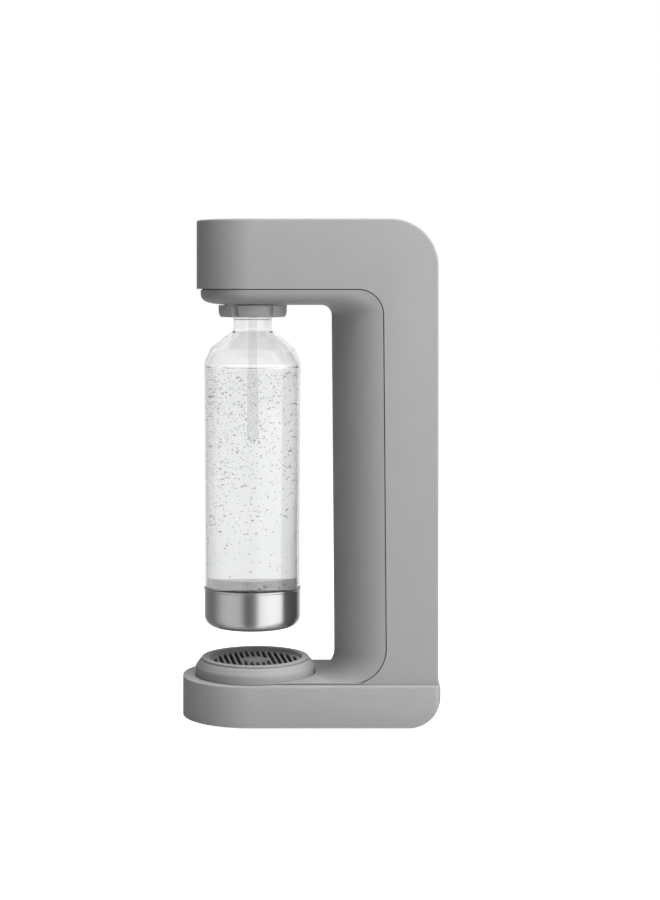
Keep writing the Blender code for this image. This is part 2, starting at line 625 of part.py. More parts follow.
def make_head_frame():
    """The head's frame plate with its lever ears, the lever on its pin, and the cover's latch plate."""
    half = 42 * MM
    frame = box("head_frame", (-half, -44 * MM, FRAME_BOTTOM), (half, 100 * MM, FRAME_TOP), FRAME_GREY)
    combine(frame, rod("frame_manifold_cut", 30 * MM, (0, BOTTLE_Y, 0.35), (0, BOTTLE_Y, 0.38), sides=FINE))
    combine(frame, rod("frame_valve_cut", 13.5 * MM, (0, CYLINDER_Y, 0.35), (0, CYLINDER_Y, 0.38),
                       sides=FINE))
    for i, (x, y) in enumerate(LINER_POSTS):
        combine(frame, rod(f"frame_hole_{i}", 1.8 * MM, (x, y, 0.35), (x, y, 0.38), sides=8))
    for side in (-1, 1):
        inside = side * 9 * MM
        outside = side * 12 * MM
        low = (min(inside, outside), LEVER_PIVOT_Y - 6 * MM, FRAME_TOP - 1 * MM)
        high = (max(inside, outside), LEVER_PIVOT_Y + 6 * MM, LEVER_PIVOT_Z + 5.5 * MM)
        combine(frame, box("lever_ear", low, high), 'UNION')
    combine(frame, rod("lever_ear_bore", LEVER_PIN_RADIUS + 0.1 * MM, (-0.02, LEVER_PIVOT_Y, LEVER_PIVOT_Z),
                       (0.02, LEVER_PIVOT_Y, LEVER_PIVOT_Z), sides=16))
    rod("lever_pin", LEVER_PIN_RADIUS, (-14 * MM, LEVER_PIVOT_Y, LEVER_PIVOT_Z),
        (14 * MM, LEVER_PIVOT_Y, LEVER_PIVOT_Z), STEEL, 16)

    lever = box("press_lever", (-LEVER_HALF_WIDTH, BOTTLE_Y - 8 * MM, LEVER_PIVOT_Z - LEVER_HALF_HEIGHT),
                (LEVER_HALF_WIDTH, LEVER_PIVOT_Y + 5 * MM, LEVER_TOP), STEEL)
    soften(lever, 0.8 * MM, 1)
    combine(lever, rod("lever_bore", LEVER_PIN_RADIUS + 0.1 * MM, (-0.02, LEVER_PIVOT_Y, LEVER_PIVOT_Z),
                       (0.02, LEVER_PIVOT_Y, LEVER_PIVOT_Z), sides=16))
    channel = LEVER_HALF_WIDTH - 2 * MM
    combine(lever, box("lever_channel", (-channel, BOTTLE_Y + 8 * MM, LEVER_PIVOT_Z - 1 * MM),
                       (channel, LEVER_PIVOT_Y - 6 * MM, LEVER_TOP + 1 * MM)))

    plate = box("latch_plate", (-8 * MM, 100.3 * MM, FRAME_BOTTOM), (8 * MM, 102.3 * MM, 382 * MM), STEEL)
    soften(plate, 0.5 * MM, 1)


def make_valve():
    """The screw-in gas valve: its block, plunger and seals, and the hose that leaves it."""
    at = (0, CYLINDER_Y)
    top = VALVE_BLOCK_TOP
    side = VALVE_BLOCK_RADIUS
    bottom = FRAME_TOP + GAP
    block = turned("valve_block", [(3.3 * MM, top), (10 * MM, top), (side, top - 4.1 * MM), (side, bottom),
                                   (10.6 * MM, bottom), (10.6 * MM, 388 * MM), (3.3 * MM, 388 * MM)],
                   BRASS, at, 24, ring=True)
    port_y = CYLINDER_Y - side - 5 * MM
    combine(block, rod("valve_port", PORT_RADIUS, (0, port_y, HOSE_HIGH),
                       (0, CYLINDER_Y - 12.5 * MM, HOSE_HIGH), sides=8), 'UNION')
    ring("valve_seal", 4.4 * MM, 10.2 * MM, 386.3 * MM, 387.7 * MM, RUBBER, at)
    under = LEVER_PIVOT_Z - LEVER_HALF_HEIGHT
    turned("valve_plunger", [(0, under - GAP), (2.2 * MM, under - GAP), (3.0 * MM, under - 1 * MM),
                             (3.0 * MM, 389.0 * MM), (1.3 * MM, 388.2 * MM), (1.3 * MM, 387.0 * MM),
                             (0, 387.0 * MM)], STEEL, at, 16)
    ring("plunger_seal", 3.05 * MM, 5.2 * MM, top + GAP, top + 1.5 * MM, RUBBER, at, 16)

    nut_length = 8 * MM
    nut("hose_nut_valve", (0, port_y - GAP - nut_length, HOSE_HIGH), (0, port_y - GAP, HOSE_HIGH))
    nut("hose_nut_manifold", (0, MANIFOLD_PORT_Y + GAP, HOSE_LOW),
        (0, MANIFOLD_PORT_Y + GAP + nut_length, HOSE_LOW))
    start = Vector((0, MANIFOLD_PORT_Y + 2 * GAP, HOSE_LOW))
    end = Vector((0, port_y - 2 * GAP, HOSE_HIGH))
    route = [start, start + Vector((0, 0.010, 0))]
    steps = 8
    for i in range(1, steps):
        along = i / steps
        bow = math.sin(math.pi * along)
        y = start.y + 0.010 + (end.y - start.y - 0.020) * along
        z = HOSE_LOW + (HOSE_HIGH - HOSE_LOW) * (1 - math.cos(math.pi * along)) / 2
        route.append(Vector((9 * MM * bow * bow, y, z)))
    route += [end - Vector((0, 0.010, 0)), end]
    wire("gas_hose", route, HOSE_RADIUS, WHITE_HOSE)


def nut(name, start, end):
    """A hexagonal union nut on the hose."""
    piece = rod(name, 5.6 * MM, start, end, BRASS, 6)
    reach = Vector((0, 0.002, 0))
    combine(piece, rod(f"{name}_bore", HOSE_RADIUS + GAP, Vector(start) - reach, Vector(end) + reach,
                       sides=8))
    return piece


def make_manifold():
    """The carbonating head over the bottle: manifold, relief valve, seal, tube, tip and collar."""
    at = (0, BOTTLE_Y)
    flange = MANIFOLD_FLANGE_TOP
    manifold = turned("nozzle_manifold", [(0, 380 * MM), (9.5 * MM, 380 * MM), (11 * MM, 378.5 * MM),
                                          (11 * MM, flange), (27 * MM, flange), (27 * MM, 357 * MM),
                                          (19.4 * MM, 357 * MM), (19.4 * MM, SEAL_SEAT),
                                          (3.8 * MM, SEAL_SEAT), (3.8 * MM, 372 * MM),
                                          (0, 372 * MM)], FRAME_GREY, at, 24)
    combine(manifold, rod("manifold_port", PORT_RADIUS, (0, BOTTLE_Y + 8 * MM, HOSE_LOW),
                          (0, MANIFOLD_PORT_Y, HOSE_LOW), sides=8), 'UNION')
    for i, y in enumerate(COLLAR_SCREWS):
        combine(manifold, rod(f"manifold_hole_{i}", 1.8 * MM, (0, y, 0.34), (0, y, 0.37), sides=10))
        screw(f"collar_screw_{i + 1}", (0, y), flange + GAP, 1, 13 * MM)

    relief = (RELIEF_X, BOTTLE_Y)
    ring("relief_body", 3.4 * MM, 6 * MM, flange + GAP, 376 * MM, BRASS, relief, 16)
    turned("relief_poppet", [(0, 369 * MM), (3 * MM, 369 * MM), (3 * MM, 362.6 * MM), (1.2 * MM, 361.6 * MM),
                             (0, 361.6 * MM)], STEEL, relief, 12)
    coil_spring("relief_spring", 2.2 * MM, 0.4 * MM, 369 * MM + GAP, 376 * MM, 3, STEEL, relief)
    ring("relief_cap", 1.0 * MM, 6 * MM, 376 * MM + GAP, 379 * MM, DARK_PLASTIC, relief, 16)

    ring("bottle_seal", 5.0 * MM, 15.8 * MM, NECK_TOP + GAP, SEAL_SEAT - GAP, RUBBER, at, 24)
    turned("nozzle_tube", [(1.6 * MM, 371.4 * MM), (TUBE_RADIUS, 371.4 * MM), (TUBE_RADIUS, TUBE_END),
                           (1.6 * MM, TUBE_END)], FRAME_GREY, at, 16, ring=True)
    turned("nozzle_tip", [(0.7 * MM, TUBE_END - GAP), (TUBE_RADIUS, TUBE_END - GAP), (TUBE_RADIUS, 240 * MM),
                          (2.0 * MM, 235.5 * MM), (0.7 * MM, 235.5 * MM)], STEEL, at, 16, ring=True)

    collar_top = HEAD_UNDERSIDE - GAP
    collar = turned("nozzle_collar", [(NECK_RADIUS + 1.0 * MM, collar_top), (29.4 * MM, collar_top),
                                      (28.6 * MM, 350 * MM), (27.6 * MM, 345.6 * MM),
                                      (26.8 * MM, 344.3 * MM), (24.8 * MM, COLLAR_BOTTOM),
                                      (NECK_RADIUS + 2.0 * MM, COLLAR_BOTTOM),
                                      (NECK_RADIUS + 1.0 * MM, COLLAR_BOTTOM + 1 * MM)],
                    COLLAR_GREY, at, FINE, ring=True)
    for i in range(COLLAR_NOTCHES):
        angle = 2 * math.pi * (i + 0.5) / COLLAR_NOTCHES
        x = NOTCH_REACH * math.cos(angle)
        y = BOTTLE_Y + NOTCH_REACH * math.sin(angle)
        combine(collar, rod(f"collar_notch_{i}", NOTCH_RADIUS, (x, y, 0.33), (x, y, NOTCH_TOP), sides=8))
    for i, y in enumerate(COLLAR_SCREWS):
        combine(collar, rod(f"collar_bore_{i}", 1.8 * MM, (0, y, 347.5 * MM), (0, y, 0.36), sides=8))


# ---- Gas cylinder -----------------------------------------------------------------------------

def make_cylinder():
    """The gas cylinder with its screw-in valve and the valve's pin."""
    at = (0, CYLINDER_Y)
    r = CYLINDER_RADIUS
    low = CYLINDER_BOTTOM
    neck, mouth, wall = CYLINDER_NECK, CYLINDER_MOUTH, CYLINDER_WALL
    steps = [math.radians(d) for d in (0, 30, 60, 90)]
    outer = [(neck + (r - neck) * math.sin(a), CYLINDER_SHOULDER + CYLINDER_DOME * math.cos(a))
             for a in steps]
    inner = [(mouth + (r - wall - mouth) * math.sin(a),
              CYLINDER_SHOULDER + (CYLINDER_DOME - wall) * math.cos(a)) for a in reversed(steps)]
    profile = [(0, low + 4 * MM), (r - 6 * MM, low + 4 * MM), (r - wall, low + 8 * MM)] + inner
    profile += [(mouth, CYLINDER_TOP), (neck, CYLINDER_TOP)] + outer
    profile += [(r, low + 5 * MM), (r - 1.4 * MM, low + 1.4 * MM), (r - 4.5 * MM, low), (0, low)]
    turned("cylinder_body", profile, CYLINDER_PAINT, at, FINE)
    stem = 8.0 * MM
    turned("cylinder_valve", [(1.8 * MM, VALVE_TOP), (9.6 * MM, VALVE_TOP), (10.3 * MM, 385.2 * MM),
                              (10.3 * MM, 364 * MM), (12.5 * MM, 362 * MM), (12.5 * MM, CYLINDER_TOP + GAP),
                              (stem, CYLINDER_TOP + GAP), (stem, 338 * MM), (1.8 * MM, 338 * MM)],
           BRASS, at, 24, ring=True)
    turned("cylinder_valve_pin", [(0, 386.7 * MM), (1.2 * MM, 386.7 * MM), (1.5 * MM, 386.3 * MM),
                                  (1.5 * MM, CYLINDER_TOP), (0, CYLINDER_TOP)], STEEL, at, 12)


# ---- Rear cover -------------------------------------------------------------------------------

def make_rear_cover():
    """The cover of the cylinder bay with its hinge barrel, pin and magnet."""
    inner = BODY_REAR - WALL + 0.2 * MM
    cover = box("rear_cover", (-COVER_HALF_WIDTH, inner, COVER_BOTTOM),
                (COVER_HALF_WIDTH, BODY_REAR, COVER_TOP), SHELL_GREY)
    soften(cover, 0.5 * MM, 1)
    reach = COVER_HALF_WIDTH - 0.2 * MM
    combine(cover, rod("cover_barrel", 2.2 * MM, (-reach, COVER_PIVOT_Y, COVER_PIVOT_Z),
                       (reach, COVER_PIVOT_Y, COVER_PIVOT_Z), sides=16), 'UNION')
    combine(cover, rod("cover_barrel_bore", 1.1 * MM, (-0.05, COVER_PIVOT_Y, COVER_PIVOT_Z),
                       (0.05, COVER_PIVOT_Y, COVER_PIVOT_Z), sides=8))
    for i, x in enumerate((-24 * MM, 24 * MM)):
        rib = box(f"cover_rib_{i}", (x - 1 * MM, inner - 3 * MM, COVER_BOTTOM + 12 * MM),
                  (x + 1 * MM, inner + 1 * MM, COVER_TOP - 12 * MM))
        combine(cover, rib, 'UNION')
    rod("cover_hinge_pin", 1.0 * MM, (-40 * MM, COVER_PIVOT_Y, COVER_PIVOT_Z),
        (40 * MM, COVER_PIVOT_Y, COVER_PIVOT_Z), STEEL, 12)
    rod("cover_magnet", 5 * MM, (0, 102.6 * MM, 374 * MM), (0, inner - GAP, 374 * MM), STEEL, 16)


# ---- Bottle -----------------------------------------------------------------------------------

def make_bottle():
    """The clear bottle and the steel cup on its lower end."""
    at = (0, BOTTLE_Y)
    wall = BOTTLE_WALL
    foot = BOTTLE_BOTTOM + 1.2 * MM
    inset = BOTTLE_LOWER_RADIUS
    shoulder = [(16, 331.4), (19, 328.8), (27.7, 323.6), (33.3, 318.4), (37.2, 313.3), (40.3, 304.0),
                (41.6, 294.0)]
    outer = [(r * MM, z * MM) for r, z in shoulder]
    profile = [(0, foot + wall), (inset - 8.5 * MM, foot + wall),
               (inset - 2.4 * MM - wall, foot + 3.4 * MM), (inset - wall, foot + 8.5 * MM),
               (inset - wall, CUP_TOP + 1.6 * MM), (BOTTLE_RADIUS - wall, CUP_TOP + 3 * MM)]
    profile += [(r - wall, z - 0.4 * MM) for r, z in outer[:0:-1]]
    profile += [(NECK_RADIUS - NECK_WALL, 329.5 * MM), (NECK_RADIUS - NECK_WALL, NECK_TOP),
                (NECK_RADIUS, NECK_TOP), (NECK_RADIUS, 342.2 * MM), (NECK_RADIUS + 1.2 * MM, 341.8 * MM),
                (NECK_RADIUS + 1.2 * MM, 340.4 * MM), (NECK_RADIUS, 340 * MM)]
    profile += outer
    profile += [(BOTTLE_RADIUS, CUP_TOP + 1.6 * MM), (inset, CUP_TOP + 1.0 * MM), (inset, foot + 8 * MM),
                (inset - 2.4 * MM, foot + 2.4 * MM), (inset - 8 * MM, foot), (0, foot)]
    turned("bottle_body", profile, CLEAR_PET, at, FINE)

    r = BOTTLE_RADIUS
    low = BOTTLE_BOTTOM
    turned("bottle_base_cup", [(0, low + CUP_WALL), (r - 9.4 * MM, low + CUP_WALL),
                               (r - 3.4 * MM, low + 3.2 * MM), (r - CUP_WALL, low + 9.2 * MM),
                               (r - CUP_WALL, CUP_TOP), (r, CUP_TOP + 0.4 * MM),
                               (r + 0.8 * MM, CUP_TOP - 0.6 * MM), (r + 0.5 * MM, CUP_TOP - 1.8 * MM),
                               (r, CUP_TOP - 2.4 * MM), (r, low + 9 * MM), (r - 2.6 * MM, low + 2.6 * MM),
                               (r - 9 * MM, low), (0, low)], STEEL, at, FINE)


# ---- Drip tray --------------------------------------------------------------------------------

def make_tray():
    """The drip tray and the slotted grille whose flange rests on it."""
    at = (0, TRAY_Y)
    foot = BASE_TOP + GAP
    turned("drip_tray", [(0, 38 * MM), (38 * MM, 38 * MM), (TRAY_MOUTH + 0.4 * MM, 41 * MM),
                         (TRAY_MOUTH + 0.4 * MM, 48.4 * MM), (TRAY_RIM + 0.2 * MM, 48.4 * MM),
                         (TRAY_RIM + 1.2 * MM, 47.8 * MM), (51.2 * MM, 43.2 * MM), (TRAY_RADIUS, 41.8 * MM),
                         (TRAY_RADIUS, foot), (TRAY_RADIUS - 2.2 * MM, foot),
                         (TRAY_RADIUS - 2.2 * MM, 41.6 * MM),
                         (46.2 * MM, 46.2 * MM), (42.4 * MM, 46.2 * MM), (42.4 * MM, 39.8 * MM),
                         (38.6 * MM, 36 * MM), (0, 36 * MM)],
           LINER_GREY, at, FINE)

    grille = turned("drip_grille", [(0, GRILLE_TOP), (TRAY_MOUTH - 1.4 * MM, GRILLE_TOP),
                                    (TRAY_MOUTH, TRAY_TOP - 0.5 * MM), (TRAY_MOUTH + 0.5 * MM, TRAY_TOP),
                                    (TRAY_RIM - 0.4 * MM, TRAY_TOP), (TRAY_RIM, TRAY_TOP - 0.4 * MM),
                                    (TRAY_RIM, 48.7 * MM), (TRAY_MOUTH + 0.1 * MM, 48.7 * MM),
                                    (TRAY_MOUTH - 0.1 * MM, 45.2 * MM), (0, 45.2 * MM)],
                    LINER_GREY, at, FINE)
    bm = bmesh.new()
    for i in range(GRILLE_SLOTS):
        y = (i - (GRILLE_SLOTS - 1) / 2) * SLOT_PITCH
        bmesh.ops.create_cube(bm, size=1.0, matrix=Matrix.LocRotScale(
            (0, y, 46 * MM), None, (0.09, SLOT_WIDTH, 8 * MM)))
    mesh = bpy.data.meshes.new("grille_slots")
    bm.to_mesh(mesh)
    bm.free()
    slots = place(mesh, "grille_slots", DARK_PLASTIC)
    slots.location = (0, TRAY_Y, 0)
    slots.rotation_euler = (0, 0, math.radians(GRILLE_TURN))
    combine(slots, rod("grille_slot_reach", SLOT_REACH, (0, TRAY_Y, 0.03), (0, TRAY_Y, 0.06), sides=FINE),
            'INTERSECT')
    boss = rod("grille_boss", GRILLE_BOSS, (0, TRAY_Y, 0.03), (0, TRAY_Y, 0.06), sides=20)
    combine(slots, boss)
    combine(grille, slots)


make_base()
make_outer_shell()
make_inner_liner()
make_button()
make_head_frame()
make_valve()
make_manifold()
make_cylinder()
make_rear_cover()
make_bottle()
make_tray()
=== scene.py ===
import math
import random

import bmesh
import bpy
from mathutils import Matrix, Vector


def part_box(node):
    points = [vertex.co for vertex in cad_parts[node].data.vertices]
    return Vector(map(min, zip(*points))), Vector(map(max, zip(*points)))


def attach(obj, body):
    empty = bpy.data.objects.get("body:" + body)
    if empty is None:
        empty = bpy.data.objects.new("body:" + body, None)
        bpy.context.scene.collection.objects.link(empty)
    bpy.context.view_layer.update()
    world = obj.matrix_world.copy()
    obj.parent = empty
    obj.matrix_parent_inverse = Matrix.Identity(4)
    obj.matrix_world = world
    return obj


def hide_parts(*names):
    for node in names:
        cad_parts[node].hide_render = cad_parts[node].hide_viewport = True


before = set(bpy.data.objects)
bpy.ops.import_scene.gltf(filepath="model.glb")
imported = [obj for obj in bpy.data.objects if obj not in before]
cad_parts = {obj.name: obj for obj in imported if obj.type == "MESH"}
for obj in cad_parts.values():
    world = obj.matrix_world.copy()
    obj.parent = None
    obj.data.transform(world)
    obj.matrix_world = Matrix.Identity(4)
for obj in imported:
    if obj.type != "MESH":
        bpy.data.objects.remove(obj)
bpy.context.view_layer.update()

# ---- Camera, soft boxes and floor -------------------------------------------------------------
# The machine is seen square on its side from the height of the seam under its head. A tall soft box
# stands to the rear right, a weaker one to the front, and a third hangs high over the near side.
MM = 0.001

camera_data = bpy.data.cameras.new("view")
camera_data.lens = 74.8
camera_data.sensor_width = 36.0
camera_data.shift_x = 0.011
camera_data.shift_y = -0.179
camera = bpy.data.objects.new("view", camera_data)
camera.location = (1619 * MM, 8.8 * MM, 367.8 * MM)
camera.rotation_euler = (math.radians(90), 0, math.radians(90))
bpy.context.scene.collection.objects.link(camera)
bpy.context.scene.camera = camera
bpy.context.scene.view_settings.view_transform = 'Standard'


def soft_box(name, azimuth, height, distance, width, tall, power, aim=(0, 0, 0.2)):
    """A rectangular light at an azimuth from +X towards +Y, in degrees, aimed at the machine."""
    light_data = bpy.data.lights.new(name, 'AREA')
    light_data.shape = 'RECTANGLE'
    light_data.size = width
    light_data.size_y = tall
    light_data.energy = power
    light = bpy.data.objects.new(name, light_data)
    light.visible_glossy = False
    light.visible_transmission = False
    turn = math.radians(azimuth)
    light.location = (distance * math.cos(turn), distance * math.sin(turn), height)
    light.rotation_euler = (Vector(aim) - light.location).to_track_quat('-Z', 'Y').to_euler()
    bpy.context.scene.collection.objects.link(light)


soft_box("key_box", 50, 0.90, 1.8, 1.65, 2.1, 39)
soft_box("front_box", -57, 0.75, 1.9, 1.60, 1.5, 2.8)
soft_box("top_box", 35, 2.2, 0.55, 0.9, 0.9, 42)


def links(tree, *pairs):
    """Join nodes, each pair given as (node, its output, next node, its input)."""
    for source, output, target, entry in pairs:
        tree.links.new(source.outputs[output], target.inputs[entry])


def node(tree, kind, values=(), **settings):
    """A shader node with its settings and the values of some of its inputs."""
    made = tree.nodes.new(kind)
    for key, value in settings.items():
        setattr(made, key, value)
    for key, value in dict(values).items():
        made.inputs[key].default_value = value
    return made


def new_coat(name):
    """A new material: itself, its tree and its shader."""
    made = bpy.data.materials.new(name)
    made.use_nodes = True
    return made, made.node_tree, made.node_tree.nodes["Principled BSDF"]


world = bpy.data.worlds.new("studio")
world.use_nodes = True
sky = world.node_tree
# What gloss sees round the machine, from straight behind it, by the front, the side and the rear back
# to behind: (azimuth from +X towards +Y in degrees, brightness). The boxes' fronts are in it.
ROUND_THE_SET = ((-180, 1.15), (-163, 0.60), (-147, 0.25), (-122, 0.20), (-108, 0.19), (-94, 0.33),
                 (-77, 0.58), (-55, 0.67), (-29, 0.58), (-22, 0.38), (-15, 0.16), (-2, 0.19), (7, 0.30),
                 (13, 0.60), (20, 1.18), (44, 1.40), (72, 1.40), (82, 0.90), (92, 0.30), (100, 0.12),
                 (113, 0.05), (128, 0.05), (142, 0.35), (160, 0.95), (180, 1.15))
BRIGHTEST = 1.4
DIM_SKY = 0.05                      # what lights the machine from all round
facing = node(sky, 'ShaderNodeTexCoord')
compass = node(sky, 'ShaderNodeSeparateXYZ')
azimuth = node(sky, 'ShaderNodeMath', operation='ARCTAN2')
share = node(sky, 'ShaderNodeMapRange', {"From Min": -math.pi, "From Max": math.pi})
strips = node(sky, 'ShaderNodeValToRGB')
ramp = strips.color_ramp
for turn, brightness in ROUND_THE_SET[1:-1]:
    ramp.elements.new((turn + 180) / 360)
for stop, (turn, brightness) in zip(ramp.elements, ROUND_THE_SET):
    stop.position = (turn + 180) / 360
    stop.color = (brightness / BRIGHTEST,) * 3 + (1.0,)
gloss_light = node(sky, 'ShaderNodeMath', {1: BRIGHTEST}, operation='MULTIPLY')
path = node(sky, 'ShaderNodeLightPath')
by_gloss = node(sky, 'ShaderNodeMix')
by_gloss.inputs[2].default_value = DIM_SKY
straight = node(sky, 'ShaderNodeMath', operation='MAXIMUM')
by_sight = node(sky, 'ShaderNodeMix')
by_sight.inputs[3].default_value = 1.0
links(sky, (facing, "Generated", compass, 0), (compass, "Y", azimuth, 0), (compass, "X", azimuth, 1),
      (azimuth, 0, share, "Value"), (share, "Result", strips, 0), (strips, "Color", gloss_light, 0),
      (path, "Is Glossy Ray", by_gloss, 0), (gloss_light, 0, by_gloss, 3),
      (path, "Is Camera Ray", straight, 0), (path, "Is Transmission Ray", straight, 1),
      (straight, 0, by_sight, 0), (by_gloss, 0, by_sight, 2),
      (by_sight, 0, sky.nodes["Background"], "Strength"))
sky.nodes["Background"].inputs["Color"].default_value = (1.0, 1.0, 1.0, 1.0)
bpy.context.scene.world = world

bm = bmesh.new()
bmesh.ops.create_grid(bm, x_segments=1, y_segments=1, size=6.0)
floor_mesh = bpy.data.meshes.new("floor")
bm.to_mesh(floor_mesh)
bm.free()
floor = bpy.data.objects.new("floor", floor_mesh)
bpy.context.scene.collection.objects.link(floor)
pale, pale_tree, pale_shader = new_coat("pale_floor")
pale_shader.inputs["Base Color"].default_value = (0.55, 0.55, 0.55, 1.0)
pale_shader.inputs["Roughness"].default_value = 0.9
pale_shader.inputs["Specular IOR Level"].default_value = 0.1
pale_shader.inputs["Emission Color"].default_value = (1.0, 1.0, 1.0, 1.0)
seen = node(pale_tree, 'ShaderNodeLightPath')
straight = node(pale_tree, 'ShaderNodeMath', operation='MAXIMUM')
links(pale_tree, (seen, "Is Camera Ray", straight, 0), (seen, "Is Transmission Ray", straight, 1),
      (straight, 0, pale_shader, "Emission Strength"))
floor.visible_glossy = False
floor_mesh.materials.append(pale)

# ---- Base housing -----------------------------------------------------------------------------
# The base is one moulded tray, open underneath, with a round nose under the bottle and a big radius at
# its lower rear edge. Its top has a hole that the gas cylinder stands in.
base_low, base_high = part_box("base_housing")
bottle_low, bottle_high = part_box("bottle_body")
bottle_axis = Vector((0, (bottle_low.y + bottle_high.y) / 2, 0))
tray_low, tray_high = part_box("drip_tray")
tray_axis = Vector((0, (tray_low.y + tray_high.y) / 2, 0))
cylinder_low, cylinder_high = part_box("cylinder_body")
cylinder_axis = Vector((0, (cylinder_low.y + cylinder_high.y) / 2, 0))
CASING_WALL = 2.5 * MM
TINY = 1e-6                         # metres, within which points count as in one place


def new_group(name, inputs, outputs):
    """An empty shader node group with float sockets: the group, its input node and its output node."""
    group = bpy.data.node_groups.new(name, 'ShaderNodeTree')
    for label, value in inputs.items():
        socket = group.interface.new_socket(name=label, in_out='INPUT', socket_type='NodeSocketFloat')
        socket.default_value = value
    for label in outputs:
        group.interface.new_socket(name=label, in_out='OUTPUT', socket_type='NodeSocketFloat')
    return group, group.nodes.new('NodeGroupInput'), group.nodes.new('NodeGroupOutput')


# The spark-eroded grain that a mould leaves: a fine stipple, and slow changes of tone and of gloss.
spark_grain, grain_in, grain_out = new_group("spark_grain", {"Grain per metre": 1700.0, "Tone spread": 0.06,
                                                             "Gloss": 0.5, "Gloss spread": 0.12},
                                             ["Height", "Tone", "Gloss"])
where = node(spark_grain, 'ShaderNodeTexCoord')
stipple = node(spark_grain, 'ShaderNodeTexNoise', {"Detail": 2.0, "Roughness": 0.6})
mottle = node(spark_grain, 'ShaderNodeTexNoise', {"Scale": 38.0, "Detail": 4.0, "Roughness": 0.55})
haze = node(spark_grain, 'ShaderNodeTexNoise', {"Scale": 12.0, "Detail": 6.0, "Roughness": 0.62})
links(spark_grain, (where, "Object", stipple, "Vector"), (where, "Object", mottle, "Vector"),
      (where, "Object", haze, "Vector"), (grain_in, "Grain per metre", stipple, "Scale"),
      (stipple, "Fac", grain_out, "Height"))
for noise, spread, middle, label in ((mottle, "Tone spread", None, "Tone"),
                                     (haze, "Gloss spread", "Gloss", "Gloss")):
    offset = node(spark_grain, 'ShaderNodeMath', {1: 0.5}, operation='SUBTRACT')
    scaled = node(spark_grain, 'ShaderNodeMath', operation='MULTIPLY_ADD')
    links(spark_grain, (noise, "Fac", offset, 0), (offset, 0, scaled, 0), (grain_in, spread, scaled, 1),
          (scaled, 0, grain_out, label))
    if middle:
        links(spark_grain, (grain_in, middle, scaled, 2))
    else:
        scaled.inputs[2].default_value = 1.0


def moulded(name, colour, gloss, grain=1700.0, depth=0.02, tone_spread=0.06, gloss_spread=0.12, coat=0.0):
    """A moulded plastic or rubber with its mould's grain, and faint changes of tone and gloss."""
    made, tree, shader = new_coat(name)
    shader.inputs["Specular IOR Level"].default_value = 0.4
    shader.inputs["Coat Weight"].default_value = coat
    surface = node(tree, 'ShaderNodeGroup', node_tree=spark_grain)
    for label, value in (("Grain per metre", grain), ("Tone spread", tone_spread), ("Gloss", gloss),
                         ("Gloss spread", gloss_spread)):
        surface.inputs[label].default_value = value
    tint = node(tree, 'ShaderNodeVectorMath', {0: colour}, operation='SCALE')
    bump = node(tree, 'ShaderNodeBump', {"Strength": 0.5, "Distance": depth * MM})
    links(tree, (surface, "Tone", tint, "Scale"), (tint, "Vector", shader, "Base Color"),
          (surface, "Gloss", shader, "Roughness"), (surface, "Height", bump, "Height"),
          (bump, "Normal", shader, "Normal"))
    return made


def fillet(path, steps=5):
    """A closed path of 2D points, where a third number rounds that corner to its radius."""
    points = []
    for i, spot in enumerate(path):
        here = Vector(spot[:2])
        if len(spot) < 3:
            points.append(here)
            continue
        before = (Vector(path[i - 1][:2]) - here).normalized()
        after = (Vector(path[(i + 1) % len(path)][:2]) - here).normalized()
        half = before.angle(after) / 2
        centre = here + (before + after).normalized() * (spot[2] / math.sin(half))
        first = here + before * (spot[2] / math.tan(half)) - centre
        last = here + after * (spot[2] / math.tan(half)) - centre
        start = math.atan2(first.y, first.x)
        turn = math.remainder(math.atan2(last.y, last.x) - start, 2 * math.pi)
        for k in range(steps + 1):
            angle = start + turn * k / steps
            points.append(centre + Vector((math.cos(angle), math.sin(angle))) * spot[2])
    return points


def chain(bm, points, closed=True):
    """A chain of edges through 3D points."""
    verts = [bm.verts.new(p) for p in points]
    edges = [bm.edges.new(pair) for pair in zip(verts, verts[1:])]
    return edges + [bm.edges.new((verts[-1], verts[0]))] if closed else edges


def ring_points(axis, radius, height, steps=96):
    """Points round a level circle."""
    turns = [2 * math.pi * k / steps for k in range(steps)]
    return [Vector((axis.x + radius * math.cos(t), axis.y + radius * math.sin(t), height)) for t in turns]


def casing_plan(half_width, nose, rear, rear_corner, height, steps=64):
    """The plan of base or body: a round nose on the bottle axis, straight sides, a rounded square rear."""
    points = []
    for k in range(steps + 1):
        angle = math.pi + math.pi * k / steps
        points.append(Vector((half_width * math.cos(angle), bottle_axis.y + nose * math.sin(angle), height)))
    corners = [(half_width, bottle_axis.y), (half_width, rear, rear_corner),
               (-half_width, rear, rear_corner), (-half_width, bottle_axis.y)]
    return points + [Vector((p.x, p.y, height)) for p in fillet(corners, 8)[1:-1]]


def face_out(bm):
    """Turn all faces outwards."""
    bmesh.ops.recalc_face_normals(bm, faces=bm.faces)


def verts_of(made):
    """The vertices among what a bmesh operator gives back."""
    return [v for v in made["geom"] if isinstance(v, bmesh.types.BMVert)]


def with_holes(bm, face, hole_edges):
    """Swap a flat face for one with holes in it."""
    rim = list(face.edges)
    bmesh.ops.delete(bm, geom=[face], context='FACES_ONLY')
    bmesh.ops.triangle_fill(bm, use_beauty=True, use_dissolve=False, edges=rim + hole_edges)


def extrude_up(bm, faces, vector):
    """Extrude faces to a closed solid, keeping the faces they came from."""
    made = bmesh.ops.extrude_face_region(bm, geom=faces, use_keep_orig=True)
    bmesh.ops.translate(bm, verts=verts_of(made), vec=vector)
    face_out(bm)


